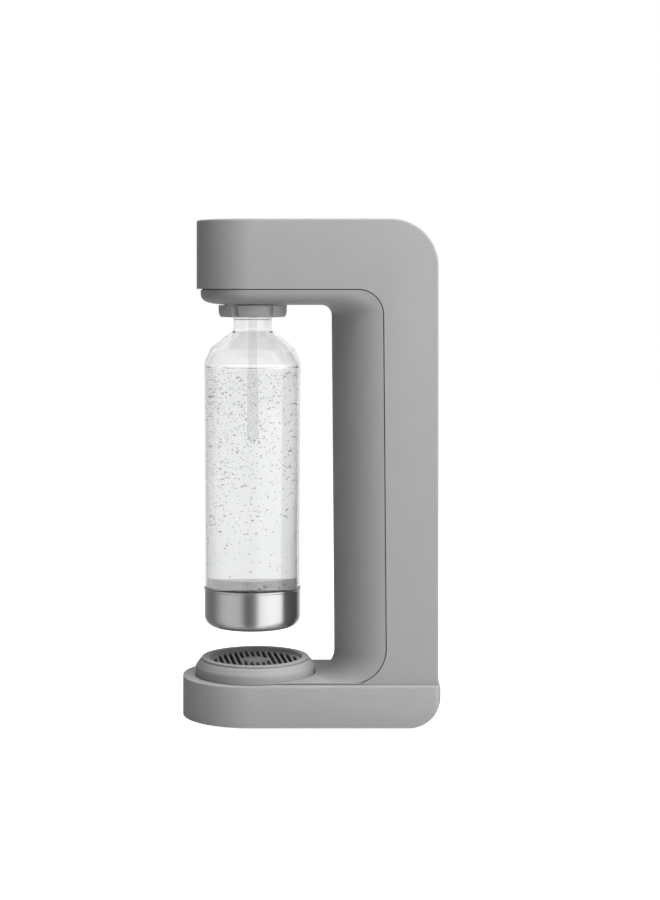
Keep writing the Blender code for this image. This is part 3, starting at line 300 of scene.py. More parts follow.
def slice_corner(bm, centre, radius, start, end, steps):
    """Round an edge that runs along X with a fan of slices, at angles in degrees from +Y to +Z."""
    for k in range(steps + 1):
        angle = math.radians(start + (end - start) * k / steps)
        out = Vector((0, math.cos(angle), math.sin(angle)))
        cut = bmesh.ops.bisect_plane(bm, geom=bm.verts[:] + bm.edges[:] + bm.faces[:], dist=1e-7,
                                     plane_co=centre + out * radius, plane_no=out, clear_outer=True)
        rim = [e for e in cut["geom_cut"] if isinstance(e, bmesh.types.BMEdge)]
        if rim:
            bmesh.ops.contextual_create(bm, geom=rim)


def piece(bm, name, coat, sharp=35.0):
    """Finish a bmesh as a named object of one material, smooth between its sharp edges."""
    mesh = bpy.data.meshes.new(name)
    bm.to_mesh(mesh)
    bm.free()
    mesh.materials.append(coat)
    mesh.shade_smooth()
    mesh.set_sharp_from_angle(angle=math.radians(sharp))
    made = bpy.data.objects.new(name, mesh)
    bpy.context.scene.collection.objects.link(made)
    return made


def give_wall(made, thickness, offset=-1.0):
    """Give an open skin its thickness, inwards unless told otherwise."""
    step = made.modifiers.new("wall", 'SOLIDIFY')
    step.thickness = thickness
    step.offset = offset
    step.use_even_offset = True
    step.use_quality_normals = True


def round_corners(bm, width, segments=5, angle=50.0):
    """Round the corners between faces that meet at more than an angle, and leave open rims alone."""
    sharp = [e for e in bm.edges if len(e.link_faces) == 2 and e.calc_face_angle() > math.radians(angle)]
    bmesh.ops.bevel(bm, geom=sharp, offset=width, offset_type='OFFSET', affect='EDGES', segments=segments,
                    profile=0.5, material=-1, clamp_overlap=True)


def round_edges(made, width, segments=3, angle=40.0):
    """Round the sharp edges of a piece, rims of its wall included."""
    step = made.modifiers.new("edges", 'BEVEL')
    step.width = width
    step.segments = segments
    step.limit_method = 'ANGLE'
    step.angle_limit = math.radians(angle)
    step.harden_normals = True


def fit(made, body, slot, *nodes):
    """Let a piece ride on its body and stand for its nodes, if it has any. The slot is not used."""
    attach(made, body)
    if nodes:
        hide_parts(*nodes)


shell_plastic = moulded("shell_plastic", (0.36, 0.36, 0.36), 0.52)
REAR_RADIUS = 27 * MM
PLATE_GAP = 0.3 * MM
BASE_REAR_EDGE = 6 * MM
PLATE_REAR_EDGE = 4 * MM
CYLINDER_HOLE = 33 * MM
plan = casing_plan(base_high.x, bottle_axis.y - base_low.y, base_high.y, BASE_REAR_EDGE, base_low.z)
plate_low, plate_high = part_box("base_plate")

bm = bmesh.new()
outline_face = bmesh.ops.contextual_create(bm, geom=chain(bm, plan))["faces"]
extrude_up(bm, outline_face, (0, 0, base_high.z - base_low.z))
rear_centre = Vector((0, base_high.y - REAR_RADIUS, base_low.z + REAR_RADIUS))
slice_corner(bm, rear_centre, REAR_RADIUS, -86, -4, 12)
with_holes(bm, max(bm.faces, key=lambda f: f.calc_center_median().z),
           chain(bm, ring_points(cylinder_axis, CYLINDER_HOLE, base_high.z, 64)))
with_holes(bm, min(bm.faces, key=lambda f: f.calc_center_median().z),
           chain(bm, casing_plan(plate_high.x + PLATE_GAP, bottle_axis.y - plate_low.y + PLATE_GAP,
                                 plate_high.y + PLATE_GAP, PLATE_REAR_EDGE, base_low.z, 48)))
face_out(bm)
round_corners(bm, 1.1 * MM, 4)
base_tub = piece(bm, "base_tub", shell_plastic)
give_wall(base_tub, CASING_WALL)
round_edges(base_tub, 0.3 * MM, 2, 50)
fit(base_tub, "root", "shell_plastic", "base_housing")

# ---- Base plate, screws and feet --------------------------------------------------------------
# A black plate closes the base from below, with slots that let air in to the cylinder. Four screws
# hold it, and four rubber pads are glued under it.
black_plastic = moulded("black_plastic", (0.022, 0.022, 0.023), 0.46, 900.0, 0.03)
pad_rubber = moulded("pad_rubber", (0.030, 0.030, 0.031), 0.72, 2600.0, 0.03, gloss_spread=0.08)

plan = casing_plan(plate_high.x, bottle_axis.y - plate_low.y, plate_high.y, PLATE_REAR_EDGE,
                   plate_high.z, 48)
AIR_SLOTS = 7
screw_axes = []
holes = []
for number in (1, 2, 3, 4):
    low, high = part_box(f"base_screw_{number}")
    screw_axes.append(Vector(((low.x + high.x) / 2, (low.y + high.y) / 2, 0)))
bm = bmesh.new()
outline = chain(bm, plan)
for k in range(AIR_SLOTS):
    y = (cylinder_axis.y - 96 * MM) + k * 7 * MM
    slot_path = [(x * MM, y + aside * MM, 1.4 * MM)
                 for x, aside in ((-24, -1.5), (24, -1.5), (24, 1.5), (-24, 1.5))]
    holes += chain(bm, [Vector((p.x, p.y, plate_high.z)) for p in fillet(slot_path, 3)])
for axis in screw_axes:
    holes += chain(bm, ring_points(axis, 1.8 * MM, plate_high.z, 24))
bmesh.ops.triangle_fill(bm, use_beauty=True, use_dissolve=False, edges=outline + holes)
face_out(bm)
if bm.faces[:][0].normal.z < 0:
    bmesh.ops.reverse_faces(bm, faces=bm.faces)
under_plate = piece(bm, "under_plate", black_plastic)
give_wall(under_plate, plate_high.z - plate_low.z)
round_edges(under_plate, 0.4 * MM, 2)
fit(under_plate, "root", "black_plastic", "base_plate")


def lathe(bm, axis, profile, steps=96):
    """Turn a profile of (radius, height) points about an upright axis."""
    edges = chain(bm, [Vector((axis.x + r, axis.y, z)) for r, z in profile], closed=False)
    bmesh.ops.spin(bm, geom=edges + list({v for e in edges for v in e.verts}), cent=axis, axis=(0, 0, 1),
                   angle=2 * math.pi, steps=steps, use_merge=True)
    bmesh.ops.remove_doubles(bm, verts=bm.verts, dist=TINY)
    face_out(bm)


def turned(name, coat, axis, profile, steps, sharp=35.0, unit=MM):
    """A finished piece turned from a profile, in millimetres unless told otherwise."""
    bm = bmesh.new()
    lathe(bm, axis, [(p[0] * unit, p[1] * unit) for p in profile], steps)
    return piece(bm, name, coat, sharp)


for corner in ("front_left", "front_right", "rear_left", "rear_right"):
    low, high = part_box(f"foot_{corner}")
    axis = Vector(((low.x + high.x) / 2, (low.y + high.y) / 2, 0))
    pad = (high.x - low.x) / 2
    profile = fillet([(0, low.z), (pad - 2.2 * MM, low.z), (pad - 1.9 * MM, low.z + 0.25 * MM),
                      (pad - 1.5 * MM, low.z), (pad, low.z, 0.35 * MM), (pad, high.z), (0, high.z)], 4)
    foot_pad = turned(f"pad_{corner}", pad_rubber, axis, profile, 48, unit=1.0)
    fit(foot_pad, "root", "rubber", f"foot_{corner}")

# ---- Outer shell ------------------------------------------------------------------------------
# One moulding makes the head's sides, nose and top and the column's rear. Its front edge is the seam
# that sweeps from under the head down the column. A round hole on top takes the button, and a tall
# one behind takes the cylinder cover. Screws from inside hold it to the frame.
shell_low, shell_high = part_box("outer_shell")
liner_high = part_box("inner_liner")[1]
guide_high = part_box("button_guide")[1]
cover_low, cover_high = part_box("rear_cover")
body_half = shell_high.x
SEAM_GAP = 0.3 * MM
SEAM_GROOVE = 0.8 * MM
SEAM_UPPER = 22 * MM
SEAM_LOWER = 30 * MM
DECK_TOP = 37 * MM
TOP_CORNER = 40 * MM
DOOR_GAP = 0.4 * MM
LEAN_TOP = 345 * MM
LEAN_FOOT = 65 * MM
LEAN_REAR = 90 * MM                 # nothing behind this leans
SEAM_LEAN = 2.2 * MM
seam_top = liner_high.z + SEAM_GAP
seam_rear = 62.6 * MM
LOWER_CENTRE = 65.4 * MM            # height of the centre of the seam's lower bend


def lean(bm):
    """The column's draft: its seam leans back a little towards its foot, and its rear is upright."""
    for vert in bm.verts:
        if vert.co.z < LEAN_TOP and 0 < vert.co.y < LEAN_REAR:
            vert.co.y += SEAM_LEAN * min(1.0, (LEAN_TOP - vert.co.z) / (LEAN_TOP - LEAN_FOOT))


def seam_line(steps=24):
    """The seam seen from the side as (y, z): back under the head, down the column and into the deck."""
    upper = Vector((seam_rear - SEAM_UPPER, seam_top - SEAM_UPPER))
    lower = Vector((seam_rear - SEAM_LOWER, LOWER_CENTRE))
    points = [Vector((bottle_axis.y, seam_top))]
    for k in range(steps + 1):
        angle = math.pi / 2 * (1 - k / steps)
        points.append(upper + SEAM_UPPER * Vector((math.cos(angle), math.sin(angle))))
    last = -math.asin((lower.y - DECK_TOP) / SEAM_LOWER)
    for k in range(steps + 1):
        angle = last * k / steps
        points.append(lower + SEAM_LOWER * Vector((math.cos(angle), math.sin(angle))))
    return points


outline = seam_line()
outline.append(Vector((outline[-1].x, shell_low.z)))
outline += fillet([(bottle_axis.y, shell_high.z), (shell_high.y, shell_high.z, TOP_CORNER),
                   (shell_high.y, shell_low.z)], 24)[::-1]
bm = bmesh.new()
side_rim = chain(bm, [Vector((body_half, p.x, p.y)) for p in outline])
side = bmesh.ops.contextual_create(bm, geom=side_rim)["faces"][0]
other = bmesh.ops.duplicate(bm, geom=[side])
bmesh.ops.translate(bm, verts=verts_of(other), vec=(-2 * body_half, 0, 0))
curve_start = shell_high.y - TOP_CORNER - TINY
round_back = [e for e in side_rim
              if all(v.co.y > curve_start or v.co.z > shell_high.z - TINY for v in e.verts)
              and any(v.co.z > shell_low.z + TINY for v in e.verts)]
across = bmesh.ops.extrude_edge_only(bm, edges=round_back)
bmesh.ops.translate(bm, verts=verts_of(across), vec=(-2 * body_half, 0, 0))
front_edge = [e for e in side_rim if all(abs(v.co.y - bottle_axis.y) < TINY for v in e.verts)]
bmesh.ops.spin(bm, geom=front_edge + list(front_edge[0].verts), cent=bottle_axis, axis=(0, 0, 1),
               angle=-math.pi, steps=72)
bmesh.ops.remove_doubles(bm, verts=bm.verts, dist=TINY)
rim = [e for e in bm.edges if len(e.link_faces) == 1
       and all(v.co.z > shell_high.z - TINY and v.co.y < bottle_axis.y + TINY for v in e.verts)]
bmesh.ops.contextual_create(bm, geom=rim)
top = bmesh.ops.dissolve_faces(bm, faces=[f for f in bm.faces
                                          if all(v.co.z > shell_high.z - TINY for v in f.verts)])
with_holes(bm, top["region"][0], chain(bm, ring_points(bottle_axis, guide_high.x + SEAM_GAP, shell_high.z)))
door = fillet([(-cover_high.x - DOOR_GAP, cover_low.z - DOOR_GAP, 2 * MM),
               (cover_high.x + DOOR_GAP, cover_low.z - DOOR_GAP, 2 * MM),
               (cover_high.x + DOOR_GAP, cover_high.z + DOOR_GAP, 6 * MM),
               (-cover_high.x - DOOR_GAP, cover_high.z + DOOR_GAP, 6 * MM)], 6)
back = max((f for f in bm.faces if all(v.co.y > shell_high.y - TINY for v in f.verts)),
           key=lambda f: f.calc_area())
with_holes(bm, back, chain(bm, [Vector((p.x, shell_high.y, p.y)) for p in door]))
face_out(bm)
lean(bm)
round_corners(bm, 1.8 * MM)
outer_casing = piece(bm, "outer_casing", shell_plastic)
give_wall(outer_casing, CASING_WALL)
round_edges(outer_casing, 0.35 * MM, 3, 50)
fit(outer_casing, "root", "shell_plastic", "outer_shell")

# ---- Inner liner ------------------------------------------------------------------------------
# The liner closes the head from below, rounds the front of the column and runs out flat as the deck
# round the drip tray. It drops into the shell and is seen up to the seam; its colour is a little darker.
liner_plastic = moulded("liner_plastic", (0.325, 0.325, 0.325), 0.55)
LINER_WALL = 2.5 * MM
NOSE_INSET = 0.072
CROWN_HEAD = 354 * MM
HEAD_SQUARENESS = 4.0
CROWN_COLUMN = 18.8 * MM
CROWN_DECK = 36.7 * MM
CROWN_BEND = 9 * MM
CROWN_CENTRE = (9.8 * MM, 345 * MM)
UPPER_CENTRE = (40.6 * MM, 345.8 * MM)
FOOT_RADIUS = 20 * MM
DECK_ROUND = 52.2 * MM


def liner_rows(steps=20):
    """Rows down the liner: its seam point, its crown point as (y, z), and how square it is across."""
    rows = [((bottle_axis.y, seam_top - SEAM_GROOVE), (bottle_axis.y, CROWN_HEAD), HEAD_SQUARENESS)]
    upper_seam = SEAM_UPPER - SEAM_GROOVE
    lower_seam = SEAM_LOWER - SEAM_GROOVE
    floor_angle = math.asin((65.4 - 36.7) * MM / lower_seam)
    for k in range(steps + 1):
        turn = math.pi / 2 * (1 - k / steps)
        seam = (UPPER_CENTRE[0] + upper_seam * math.cos(turn), UPPER_CENTRE[1] + upper_seam * math.sin(turn))
        crown = (CROWN_CENTRE[0] + CROWN_BEND * math.cos(turn),
                 CROWN_CENTRE[1] + CROWN_BEND * math.sin(turn))
        share = k / steps
        rows.append((seam, crown, HEAD_SQUARENESS + (2 - HEAD_SQUARENESS) * share * share * (3 - 2 * share)))
    for k in range(1, 9):
        height = (345 + (65.4 - 345) * k / 9) * MM
        rows.append(((seam_rear - SEAM_GROOVE, height), (CROWN_COLUMN, height), 2.0))
    for k in range(steps + 1):
        turn = -floor_angle * k / steps
        seam = (32.6 * MM + lower_seam * math.cos(turn), LOWER_CENTRE + lower_seam * math.sin(turn))
        turn = -math.pi / 2 * k / steps
        crown = (CROWN_COLUMN - FOOT_RADIUS * (1 - math.cos(turn)),
                 CROWN_DECK + FOOT_RADIUS * (1 + math.sin(turn)))
        rows.append((seam, crown, 2.0))
    return rows


def draw_in_nose(bm):
    """Set the nose of the liner a little behind the shell's, most of all at its tip."""
    for vert in bm.verts:
        if vert.co.y < bottle_axis.y - TINY:
            reach = math.hypot(vert.co.x, vert.co.y - bottle_axis.y)
            vert.co.y += NOSE_INSET * (bottle_axis.y - vert.co.y) * reach / body_half


def liner_section(seam, crown, power, steps=28):
    """A level cut across the liner, from the right seam over the crown to the left seam."""
    points = []
    for k in range(2 * steps + 1):
        turn = math.pi * k / (2 * steps)
        out = math.copysign(abs(math.cos(turn)) ** (2 / power), math.cos(turn))
        if k % steps == 0:
            out = (1, 0, -1)[k // steps]
        deep = math.sin(turn) ** (2 / power) if 0 < k < 2 * steps else 0.0
        points.append(Vector((body_half * out, seam[0] + (crown[0] - seam[0]) * deep,
                              seam[1] + (crown[1] - seam[1]) * deep)))
    return points


bm = bmesh.new()
rows = liner_rows()
edges = chain(bm, liner_section(*rows[0]), closed=False)
first_half = [e for e in edges if all(v.co.x > -1e-7 for v in e.verts)]
first_verts = list({v for e in first_half for v in e.verts})
for row in rows[1:]:
    section = liner_section(*row)
    next_edges = chain(bm, section, closed=False)
    bmesh.ops.bridge_loops(bm, edges=edges + next_edges)
    edges = next_edges
bmesh.ops.spin(bm, geom=first_half + first_verts, cent=bottle_axis, axis=(0, 0, 1), angle=-math.pi, steps=48)
bmesh.ops.remove_doubles(bm, verts=bm.verts, dist=2e-6)
face_out(bm)
draw_in_nose(bm)
for vert in bm.verts:
    aside = Vector((vert.co.x, vert.co.y - tray_axis.y))
    if vert.co.z < 40 * MM and aside.length < DECK_ROUND:
        aside.length = DECK_ROUND
        vert.co.x, vert.co.y = aside.x, aside.y + tray_axis.y
lean(bm)
liner_skin = piece(bm, "liner_skin", liner_plastic, 50)
give_wall(liner_skin, LINER_WALL)
round_edges(liner_skin, 0.35 * MM, 3, 60)
fit(liner_skin, "root", "liner_plastic", "inner_liner")

# Painted shade: a black strip stands just inside the shell behind the seam, so that the seam's groove reads
# as a dark line. No part of the solid model matches it.
SEAM_STRIP_SIDE = body_half - CASING_WALL - 0.3 * MM
SEAM_STRIP_HALF = 4 * MM
bm = bmesh.new()
path = seam_line()
below, above = [], []
for i, spot in enumerate(path):
    along = (path[min(i + 1, len(path) - 1)] - path[max(i - 1, 0)]).normalized()
    across = Vector((-along.y, along.x)) * SEAM_STRIP_HALF
    below.append(Vector((SEAM_STRIP_SIDE, spot.x - across.x, spot.y - across.y)))
    above.append(Vector((SEAM_STRIP_SIDE, spot.x + across.x, spot.y + across.y)))
bmesh.ops.bridge_loops(bm, edges=chain(bm, below, closed=False) + chain(bm, above, closed=False))
other = bmesh.ops.duplicate(bm, geom=bm.verts[:] + bm.edges[:] + bm.faces[:])
bmesh.ops.translate(bm, verts=verts_of(other), vec=(-2 * SEAM_STRIP_SIDE, 0, 0))
end = [e for e in bm.edges if all(abs(v.co.y - bottle_axis.y) < TINY and v.co.x > 0 for v in e.verts)]
bmesh.ops.spin(bm, geom=end + list({v for e in end for v in e.verts}), cent=bottle_axis, axis=(0, 0, 1),
               angle=-math.pi, steps=48)
bmesh.ops.remove_doubles(bm, verts=bm.verts, dist=2e-6)
face_out(bm)
draw_in_nose(bm)
lean(bm)
seam_shade_strip = piece(bm, "seam_shade_strip", black_plastic, 50)
give_wall(seam_shade_strip, 1.2 * MM, 1.0)
fit(seam_shade_strip, "root", "liner_plastic")

DECK_FRONT = -24.4 * MM
DECK_REAR = 46 * MM
deck_low = 35.4 * MM
start = math.asin((DECK_FRONT - tray_axis.y) / DECK_ROUND)
plan = [Vector((DECK_ROUND * math.cos(t), tray_axis.y + DECK_ROUND * math.sin(t), 0))
        for t in (start + (math.pi - 2 * start) * k / 40 for k in range(41))]
plan = [p for p in plan if abs(p.x) < body_half]
edge_y = tray_axis.y + math.sqrt(DECK_ROUND ** 2 - body_half ** 2)
plan = [Vector((body_half, edge_y, 0))] + plan + [Vector((-body_half, edge_y, 0))]
plan += [Vector((-body_half, DECK_REAR, 0)), Vector((body_half, DECK_REAR, 0))]
bm = bmesh.new()
deck_edges = chain(bm, [p + Vector((0, 0, deck_low)) for p in plan])
extrude_up(bm, bmesh.ops.contextual_create(bm, geom=deck_edges)["faces"], (0, 0, DECK_TOP - deck_low))
deck = piece(bm, "deck", liner_plastic)
round_edges(deck, 0.5 * MM, 3, 50)
fit(deck, "root", "liner_plastic")

# ---- Nozzle collar ----------------------------------------------------------------------------
# The collar under the head is one turned moulding that the bottle's neck screws up into. Six finger
# notches are cut in its rim, and two screws hold it up to the frame.
collar_plastic = moulded("collar_plastic", (0.41, 0.41, 0.41), 0.50)
NOTCH_REACH = 29.4 * MM
NOTCH_RADIUS = 3.4 * MM
NOTCH_TOP = 353.2 * MM
NOTCH_TURN = 32.0
NOTCH_STEP = 60

collar_profile = fillet([(17.0, 353.7), (29.7, 353.7), (29.6, 348.0, 2.0), (28.4, 343.5, 2.4),
                         (18.2, 343.5, 0.6), (17.0, 344.6)], 6)
bm = bmesh.new()
lathe(bm, bottle_axis, [(p.x * MM, p.y * MM) for p in collar_profile + collar_profile[:1]], 288)
for height in (NOTCH_TOP, NOTCH_TOP - 0.5 * MM):
    bmesh.ops.bisect_plane(bm, geom=bm.verts[:] + bm.edges[:] + bm.faces[:], dist=1e-7,
                           plane_co=(0, 0, height), plane_no=(0, 0, 1))
for vert in bm.verts:
    if vert.co.z > NOTCH_TOP - 0.2 * MM:
        continue
    spot = Vector((vert.co.x, vert.co.y - bottle_axis.y))
    reach = spot.length
    turn = math.degrees(math.atan2(spot.y, spot.x)) - NOTCH_TURN
    aside = math.radians(turn - NOTCH_STEP * round(turn / NOTCH_STEP))
    offset = NOTCH_REACH * abs(math.sin(aside))
    if offset < NOTCH_RADIUS:
        floor_reach = NOTCH_REACH * math.cos(aside) - math.sqrt(NOTCH_RADIUS ** 2 - offset ** 2)
        if reach > floor_reach:
            spot *= floor_reach / reach
            vert.co.x, vert.co.y = spot.x, spot.y + bottle_axis.y
face_out(bm)
collar = piece(bm, "collar", collar_plastic, 40)
fit(collar, "root", "collar_plastic", "nozzle_collar")

# ---- Button and its guide ---------------------------------------------------------------------
# The round button fills the top of the head, level with it, and slides in a plain ring. Its top is
# dished a little for the palm, and a spring under it brings it back up.
guide_profile = fillet([(6.5, 406), (36, 406), (36, 427, 0.8), (33.4, 427, 0.5), (33.4, 408), (6.5, 408)], 5)
guide_ring = turned("guide_ring", collar_plastic, bottle_axis, guide_profile + guide_profile[:1], 120)
fit(guide_ring, "root", "collar_plastic", "button_guide")

button_profile = [(0, 425.7), (6, 425.74), (12, 425.86), (18, 426.06), (24, 426.34), (28, 426.56)]
button_profile += [tuple(p) for p in fillet([(28, 426.56), (33, 426.7, 1.2), (33, 417), (28, 417)], 7)[1:-1]]
button_profile += [(31.2, 417), (31.2, 423.6), (6, 423.6), (6, 406.4), (5, 405.5), (3, 404.9), (0, 404.7)]
button_cap = turned("button_cap", shell_plastic, bottle_axis, button_profile, 120)
fit(button_cap, "button", "shell_plastic", "push_button")

# ---- Rear cover -------------------------------------------------------------------------------
# A tall flat door closes the cylinder bay behind. It is moulded in the casing's plastic, pivots on a
# pin at its foot, and a magnet at its head holds it shut. A shallow finger dip at the top opens it.
DIP_HALF = 13 * MM
SWING_GAP = 0.9 * MM
HINGE = (0, 104.5 * MM, 44.5 * MM)
door_foot = cover_low.z + SWING_GAP
cover_path = fillet([(cover_low.x, door_foot, 1.6 * MM), (cover_high.x, door_foot, 1.6 * MM),
                     (cover_high.x, cover_high.z, 5.6 * MM), (cover_low.x, cover_high.z, 5.6 * MM)], 6)
panel_depth = shell_high.y - 106.1 * MM
dip_low, dip_high = cover_high.z - 15 * MM, cover_high.z - 7 * MM
dip_path = fillet([(x, z, 3.9 * MM) for x, z in ((-DIP_HALF, dip_low), (DIP_HALF, dip_low),
                                                 (DIP_HALF, dip_high), (-DIP_HALF, dip_high))], 8)
bm = bmesh.new()
outer = chain(bm, [Vector((p.x, shell_high.y, p.y)) for p in cover_path])
inner = chain(bm, [Vector((p.x, shell_high.y, p.y)) for p in dip_path])
bmesh.ops.triangle_fill(bm, use_beauty=True, use_dissolve=False, edges=outer + inner)
floor_edges = chain(bm, [Vector((p.x * 0.86, shell_high.y - 1.2 * MM,
                                 (p.y - dip_high) * 0.72 + dip_high - 1.1 * MM)) for p in dip_path])
bmesh.ops.bridge_loops(bm, edges=inner + floor_edges)
bmesh.ops.contextual_create(bm, geom=floor_edges)
skirt = bmesh.ops.extrude_edge_only(bm, edges=outer)
bmesh.ops.translate(bm, verts=verts_of(skirt), vec=(0, -panel_depth, 0))
bmesh.ops.contextual_create(bm, geom=[e for e in skirt["geom"] if isinstance(e, bmesh.types.BMEdge)])
face_out(bm)
for side_x in (-24 * MM, 24 * MM):
    rib = bmesh.ops.create_cube(bm, size=1.0)["verts"]
    bmesh.ops.scale(bm, verts=rib, vec=(1.6 * MM, 2.2 * MM, cover_high.z - cover_low.z - 34 * MM))
    bmesh.ops.translate(bm, verts=rib, vec=(side_x, 105.2 * MM, (cover_low.z + cover_high.z) / 2))
door_panel = piece(bm, "door_panel", shell_plastic, 30)
round_edges(door_panel, 0.45 * MM, 3, 50)
fit(door_panel, "cover", "shell_plastic", "rear_cover")

bm = bmesh.new()
knuckle = bmesh.ops.create_cone(bm, cap_ends=True, segments=32, radius1=2.2 * MM, radius2=2.2 * MM,
                                depth=2 * (cover_high.x - 1.2 * MM))["verts"]
bmesh.ops.rotate(bm, verts=knuckle, cent=(0, 0, 0), matrix=Matrix.Rotation(math.pi / 2, 3, 'Y'))
bmesh.ops.translate(bm, verts=knuckle, vec=HINGE)
round_corners(bm, 0.4 * MM, 3)
door_knuckle = piece(bm, "door_knuckle", shell_plastic)
fit(door_knuckle, "cover", "shell_plastic")

# ---- Bottle -----------------------------------------------------------------------------------
# The bottle is blown from clear plastic: a thick neck with a ring, a round shoulder and a straight thin
# wall, which is a little wavy. Its lower end is pressed into a steel cup.


def clear(name, tint, roughness, ior, wave, wave_size, shine=0.5):
    """A clear plastic or liquid, with a slow wave in its surface and a faint change of clearness."""
    made, tree, shader = new_coat(name)
    shader.inputs["Transmission Weight"].default_value = 1.0
    shader.inputs["Roughness"].default_value = roughness
    shader.inputs["IOR"].default_value = ior
    shader.inputs["Specular IOR Level"].default_value = shine
    spot = node(tree, 'ShaderNodeTexCoord')
    swell = node(tree, 'ShaderNodeTexNoise', {"Scale": wave_size, "Detail": 2.0})
    smoke = node(tree, 'ShaderNodeTexNoise', {"Scale": 30.0, "Detail": 3.0})
    depth = node(tree, 'ShaderNodeMapRange', {"To Min": 0.97, "To Max": 1.0})
    colour = node(tree, 'ShaderNodeVectorMath', {0: tint}, operation='SCALE')
    bump = node(tree, 'ShaderNodeBump', {"Strength": 1.0, "Distance": wave * MM})
    links(tree, (spot, "Object", swell, "Vector"), (spot, "Object", smoke, "Vector"),
          (smoke, "Fac", depth, "Value"), (depth, "Result", colour, "Scale"),
          (colour, "Vector", shader, "Base Color"), (swell, "Fac", bump, "Height"),
          (bump, "Normal", shader, "Normal"))
    return made


clear_plastic = clear("clear_plastic", (0.935, 0.94, 0.94), 0.0, 1.46, 0.05, 70.0)
outside = fillet([(16.5, 353.0), (16.5, 342.6, 0.3), (17.0, 342.6, 0.2), (17.0, 341.6, 0.2),
                  (16.5, 341.6, 0.2), (16.5, 331.5, 4.0), (24.0, 326.6, 8.0), (36.0, 317.0, 12.0),
                  (41.6, 305.0, 16.0), (41.6, 112.0)], 9)[1:-1]
outside = [Vector((16.5, 353.0))] + outside + [Vector((41.55, 112.0)), Vector((40.3, 110.2))]
outside += fillet([(40.3, 110.2), (40.3, 78.3, 9.0), (0, 78.3)], 8)[1:-1] + [Vector((0, 78.3))]
inside = [Vector((0, 81.5)), Vector((10, 80.6)), Vector((24, 79.9))]
inside += fillet([(24, 79.9), (39.0, 79.7, 8.0), (39.0, 110.0)], 8)[1:-1]
inside += [Vector((39.0, 110.4)), Vector((40.3, 113.0))]
inside += fillet([(40.3, 113.0), (40.3, 304.6, 15.0), (35.1, 315.9, 11.5), (23.3, 325.2, 8.0),
                  (14.7, 330.8, 4.5), (14.7, 353.0)], 9)[1:-1]
inside += [Vector((14.7, 353.0))]
clear_body = turned("clear_body", clear_plastic, bottle_axis, inside + outside, 128, 45)
fit(clear_body, "bottle", "clear_bottle", "bottle_body")

# ---- Water and bubbles ------------------------------------------------------------------------
# The bottle is filled to its shoulder. Gas has come out of the water in fine bubbles, thick in the
# upper part on the front and middle of the wall, and a few large ones rest low down.
still_water = clear("still_water", (0.975, 0.98, 0.98), 0.0, 1.33, 0.03, 40.0, 0.3)
wet = fillet([(0, 82.0), (24, 80.4), (38.9, 80.2, 8.0), (38.9, 110.6), (40.2, 113.2), (40.2, 300.6)], 8)[:-1]
wet += [Vector(spot) for spot in ((40.2, 300.9), (39.4, 300.3), (38.2, 300.0), (20, 300.0), (0, 300.0))]
water = turned("water", still_water, bottle_axis, wet, 128, 45)
fit(water, "bottle", "clear_bottle")

gas = clear("gas_bubble", (0.52, 0.52, 0.53), 0.0, 1.12, 0.0, 40.0, 0.2)
SMALL_BUBBLES = 2600
LOW_BUBBLES = 60
BUBBLE_REACH = 39.2 * MM
random.seed(7)
bm = bmesh.new()


def bubble(reach, turn, height, size, stretch=1.0, tilt=0.0):
    """One bubble or a short run of them on the wall, stretched along a line that leans by the tilt."""
    place = bottle_axis + Vector((reach * math.cos(turn), reach * math.sin(turn), height))
    bmesh.ops.create_icosphere(bm, subdivisions=1, radius=size, matrix=Matrix.Translation(place)
                               @ Matrix.Rotation(turn, 4, 'Z') @ Matrix.Rotation(tilt, 4, 'X')
                               @ Matrix.Diagonal((0.55, 1.0, stretch, 1.0)))


count = 0
while count < SMALL_BUBBLES:
    turn = random.uniform(-math.pi, math.pi)
    height = random.uniform(125, 297) * MM
    share = (height / MM - 125) / 172
    front = 0.5 - 0.5 * math.sin(turn)
    thick = min(1.0, 0.10 + 1.5 * max(0.0, share - 0.16 + 0.25 * (front - 0.5)))
    if random.random() > thick * (0.35 + 0.65 * front):
        continue
    bubble(BUBBLE_REACH, turn, height, random.uniform(0.18, 0.42) * MM, random.uniform(1.0, 3.6),
           random.uniform(0.2, 1.2))
    count += 1
for k in range(LOW_BUBBLES):
    bubble(BUBBLE_REACH, random.uniform(-math.pi, math.pi), random.uniform(114, 190) * MM,
           random.uniform(0.35, 0.8) * MM)
bubbles = piece(bm, "bubbles", gas, 180)
fit(bubbles, "bottle", "clear_bottle")

bm = bmesh.new()
LARGE = ((38.0, 0.30, 115.5, 1.7), (38.2, 0.18, 113.6, 1.5), (38.4, 0.62, 114.5, 1.3),
         (38.6, 0.02, 112.9, 0.9), (38.4, 0.44, 117.5, 0.8), (38.5, 0.80, 116.2, 0.9),
         (38.6, -0.08, 116.6, 0.7), (38.2, 0.34, 119.6, 0.7), (38.4, 0.95, 113.4, 0.8))
for reach, turn, height, size in LARGE:
    made = bmesh.ops.create_icosphere(bm, subdivisions=2, radius=size * MM)["verts"]
    bmesh.ops.translate(bm, verts=made, vec=bottle_axis + Vector((reach * MM * math.cos(turn),
                                                                 reach * MM * math.sin(turn), height * MM)))
large_bubbles = piece(bm, "large_bubbles", gas, 180)
fit(large_bubbles, "bottle", "clear_bottle")
